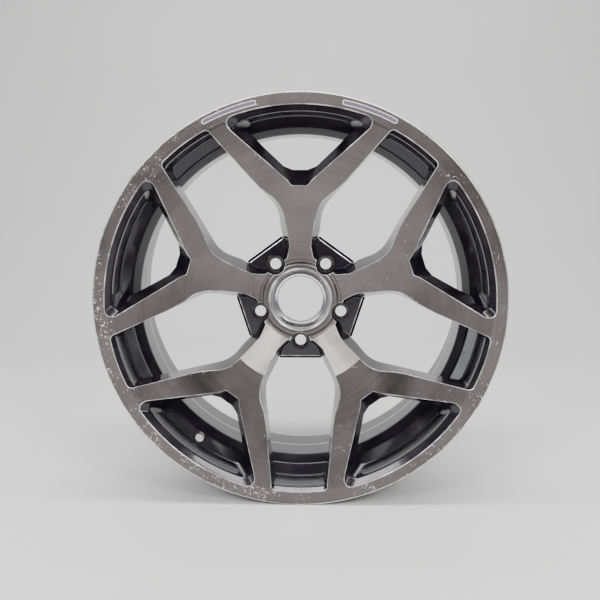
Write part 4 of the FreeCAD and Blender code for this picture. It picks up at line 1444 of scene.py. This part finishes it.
def build_stripe(mirror):
    """One painted stripe, a fill with a pale outline, a hair proud of the lip."""

    def placed(loop, depth):
        sweep = math.radians(90.0) + mirror * loop[:, 0] / STRIPE_RADIUS
        flat = np.stack([np.cos(sweep), np.sin(sweep)], 1)
        return lifted(flat * (STRIPE_RADIUS + loop[:, 1:]), depth)

    outer, inner = stripe_loop(0.0), stripe_loop(OUTLINE_WIDTH)
    shell = Shell()
    rows = [placed(outer, STRIPE_UNDER), placed(outer, -0.02), placed(inner, STRIPE_TOP)]
    up = [0.0, -1.0, 0.0]
    for first, flat in ((0, False), (1, True)):
        grid = np.stack(rows[first:first + 2])
        grid = grid[:, ::-1] if mirror > 0 else grid
        normals = np.broadcast_to(up, (2, grid.shape[1] + 1, 3)) if flat else None
        shell.grid(grid, OUTLINE, closed=True, normals=normals)
    # the flat faces are rungs from one long side to the other, from the far end to the near one
    rung = np.arange(len(outer) // 2 - 1)
    left, right = CORNER_STEPS + 1 + rung, CORNER_STEPS - rung
    corners = np.stack([left, left + 1, right - 1, right], 1) % len(outer)
    shell.add(rows[2][corners], up, FILL)
    shell.add(rows[0][corners], [0.0, 1.0, 0.0], OUTLINE)
    return shell


disc = build_disc()
rings = build_rings()
hub = build_hub_parts(disc)
for number, name in enumerate(SPOKE_NAMES):
    add_piece(f"spoke_{name}_body", disc["spoke"], f"spoke_{name}",
              number * SECTOR)
for number, name in enumerate(BOSS_NAMES):
    add_piece(f"nut_boss_{name}_body", disc["boss"], f"nut_boss_{name}",
              HALF + number * SECTOR)
for name, node, slot in (
    ("lip", "lip_ring", "machined_face"),
    ("hub", "hub_flange", "machined_face"),
    ("nose", "nose_ring", "machined_face"),
    ("pad", "mounting_pad", "bare_alloy"),
    ("cap", "cap_seat_ring", "bare_alloy"),
    ("sleeve", "hub_bore_sleeve", "bare_alloy"),
):
    add_piece(f"{node}_body", hub[name], node)
for name, shell in rings.items():
    piece = add_piece(f"{name}_body", shell, name)
    if name == "drop_centre":
        drill_valve_hole(piece)

for name, mirror in (("stripe_left", 1.0), ("stripe_right", -1.0)):
    add_piece(f"{name}_body", build_stripe(mirror), name, 0.0, STRIPE_MATERIALS)

# ------------------------------------------------------------------ floor, light and camera


def sweep_floor():
    """A pale floor that curves up into a wall well behind the wheel."""
    low, back, bend, wide = -FLANGE_RADIUS * 0.001, 1.9, 0.9, 8.0
    curve = swept((back - bend, low + bend), (back - bend, low), (back, low + bend), 16)
    section = [(-8.0, low), (0.0, low), *curve.tolist(), (back, 4.0)]
    points = [(x, y, z) for y, z in section for x in (-wide, wide)]
    faces = [(row, row + 1, row + 3, row + 2) for row in range(0, len(points) - 2, 2)]
    mesh = new_mesh("floor", points, faces)
    for polygon in mesh.polygons:
        polygon.use_smooth = True
    paint = Paint("floor", specular_ior_level=0.3)
    cloud = paint.noise(paint.place, 0.004, 3.0)
    colour = paint.blend(cloud, rgb(0.74, 0.735, 0.725), rgb(0.80, 0.795, 0.785))
    mesh.materials.append(paint.finish(colour, paint.spread(cloud, 0.3, 0.7, 0.5, 0.6), None))
    return new_object("floor", mesh)


floor = sweep_floor()

world = bpy.data.worlds.new("studio")
world.use_nodes = True
world.node_tree.nodes["Background"].inputs[0].default_value = (0.86, 0.88, 0.92, 1.0)
world.node_tree.nodes["Background"].inputs[1].default_value = 0.19
bpy.context.scene.world = world


def area_light(name, place, target, size, power, colour=(1.0, 1.0, 1.0)):
    """A panel that shines from its place towards a target."""
    light = bpy.data.lights.new(name, "AREA")
    light.shape = "RECTANGLE"
    light.size, light.size_y = size
    light.energy = power
    light.color = colour
    holder = new_object(name, light)
    holder.location = place
    aim = Vector(target) - Vector(place)
    holder.rotation_euler = aim.to_track_quat("-Z", "Y").to_euler()


area_light("left_panel", (-0.84, -1.65, 1.05), (0.0, 0.0, 0.0), (0.26, 0.5), 13.0)
area_light("left_edge_panel", (-1.30, -1.42, 1.05), (0.0, 0.0, 0.0), (0.22, 0.5), 9.5)
area_light("right_panel", (1.05, -1.60, 1.10), (0.0, 0.0, 0.0), (0.75, 0.5), 27.0)
area_light("front_panel", (0.0, -1.95, 0.58), (0.0, 0.0, 0.0), (2.6, 0.55), 5.0)
area_light("ceiling", (0.0, -0.5, 1.95), (0.0, -0.2, 0.0), (1.8, 0.9), 9.0)
area_light("ceiling_strip", (0.0, -0.26, 1.90), (0.0, -0.2, 0.0), (2.9, 0.30), 50.0)
area_light("backdrop", (0.0, 1.1, 2.6), (0.0, 1.4, 0.0), (2.6, 0.7), 14.0)
area_light("back_panel", (0.0, 1.60, 1.42), (0.0, 0.0, 0.0), (1.8, 0.22), 11.0, (0.94, 0.97, 1.0))
area_light("left_strip", (-1.5, -0.7, 0.5), (0.0, 0.0, 0.0), (0.25, 1.2), 6.0, (0.96, 0.98, 1.0))
area_light("right_strip", (1.5, -0.6, 0.6), (0.0, 0.0, 0.0), (0.25, 1.2), 5.0)

camera_data = bpy.data.cameras.new("camera")
camera_data.lens = 41.508
camera_data.sensor_width = 36.0
camera = new_object("camera", camera_data)
camera.location = (0.0220, -0.9316, 0.1092)
tilt_down, turn_left = 0.1201, 0.0247
camera.rotation_euler = (math.pi / 2 - tilt_down, 0.0, turn_left)
bpy.context.scene.camera = camera
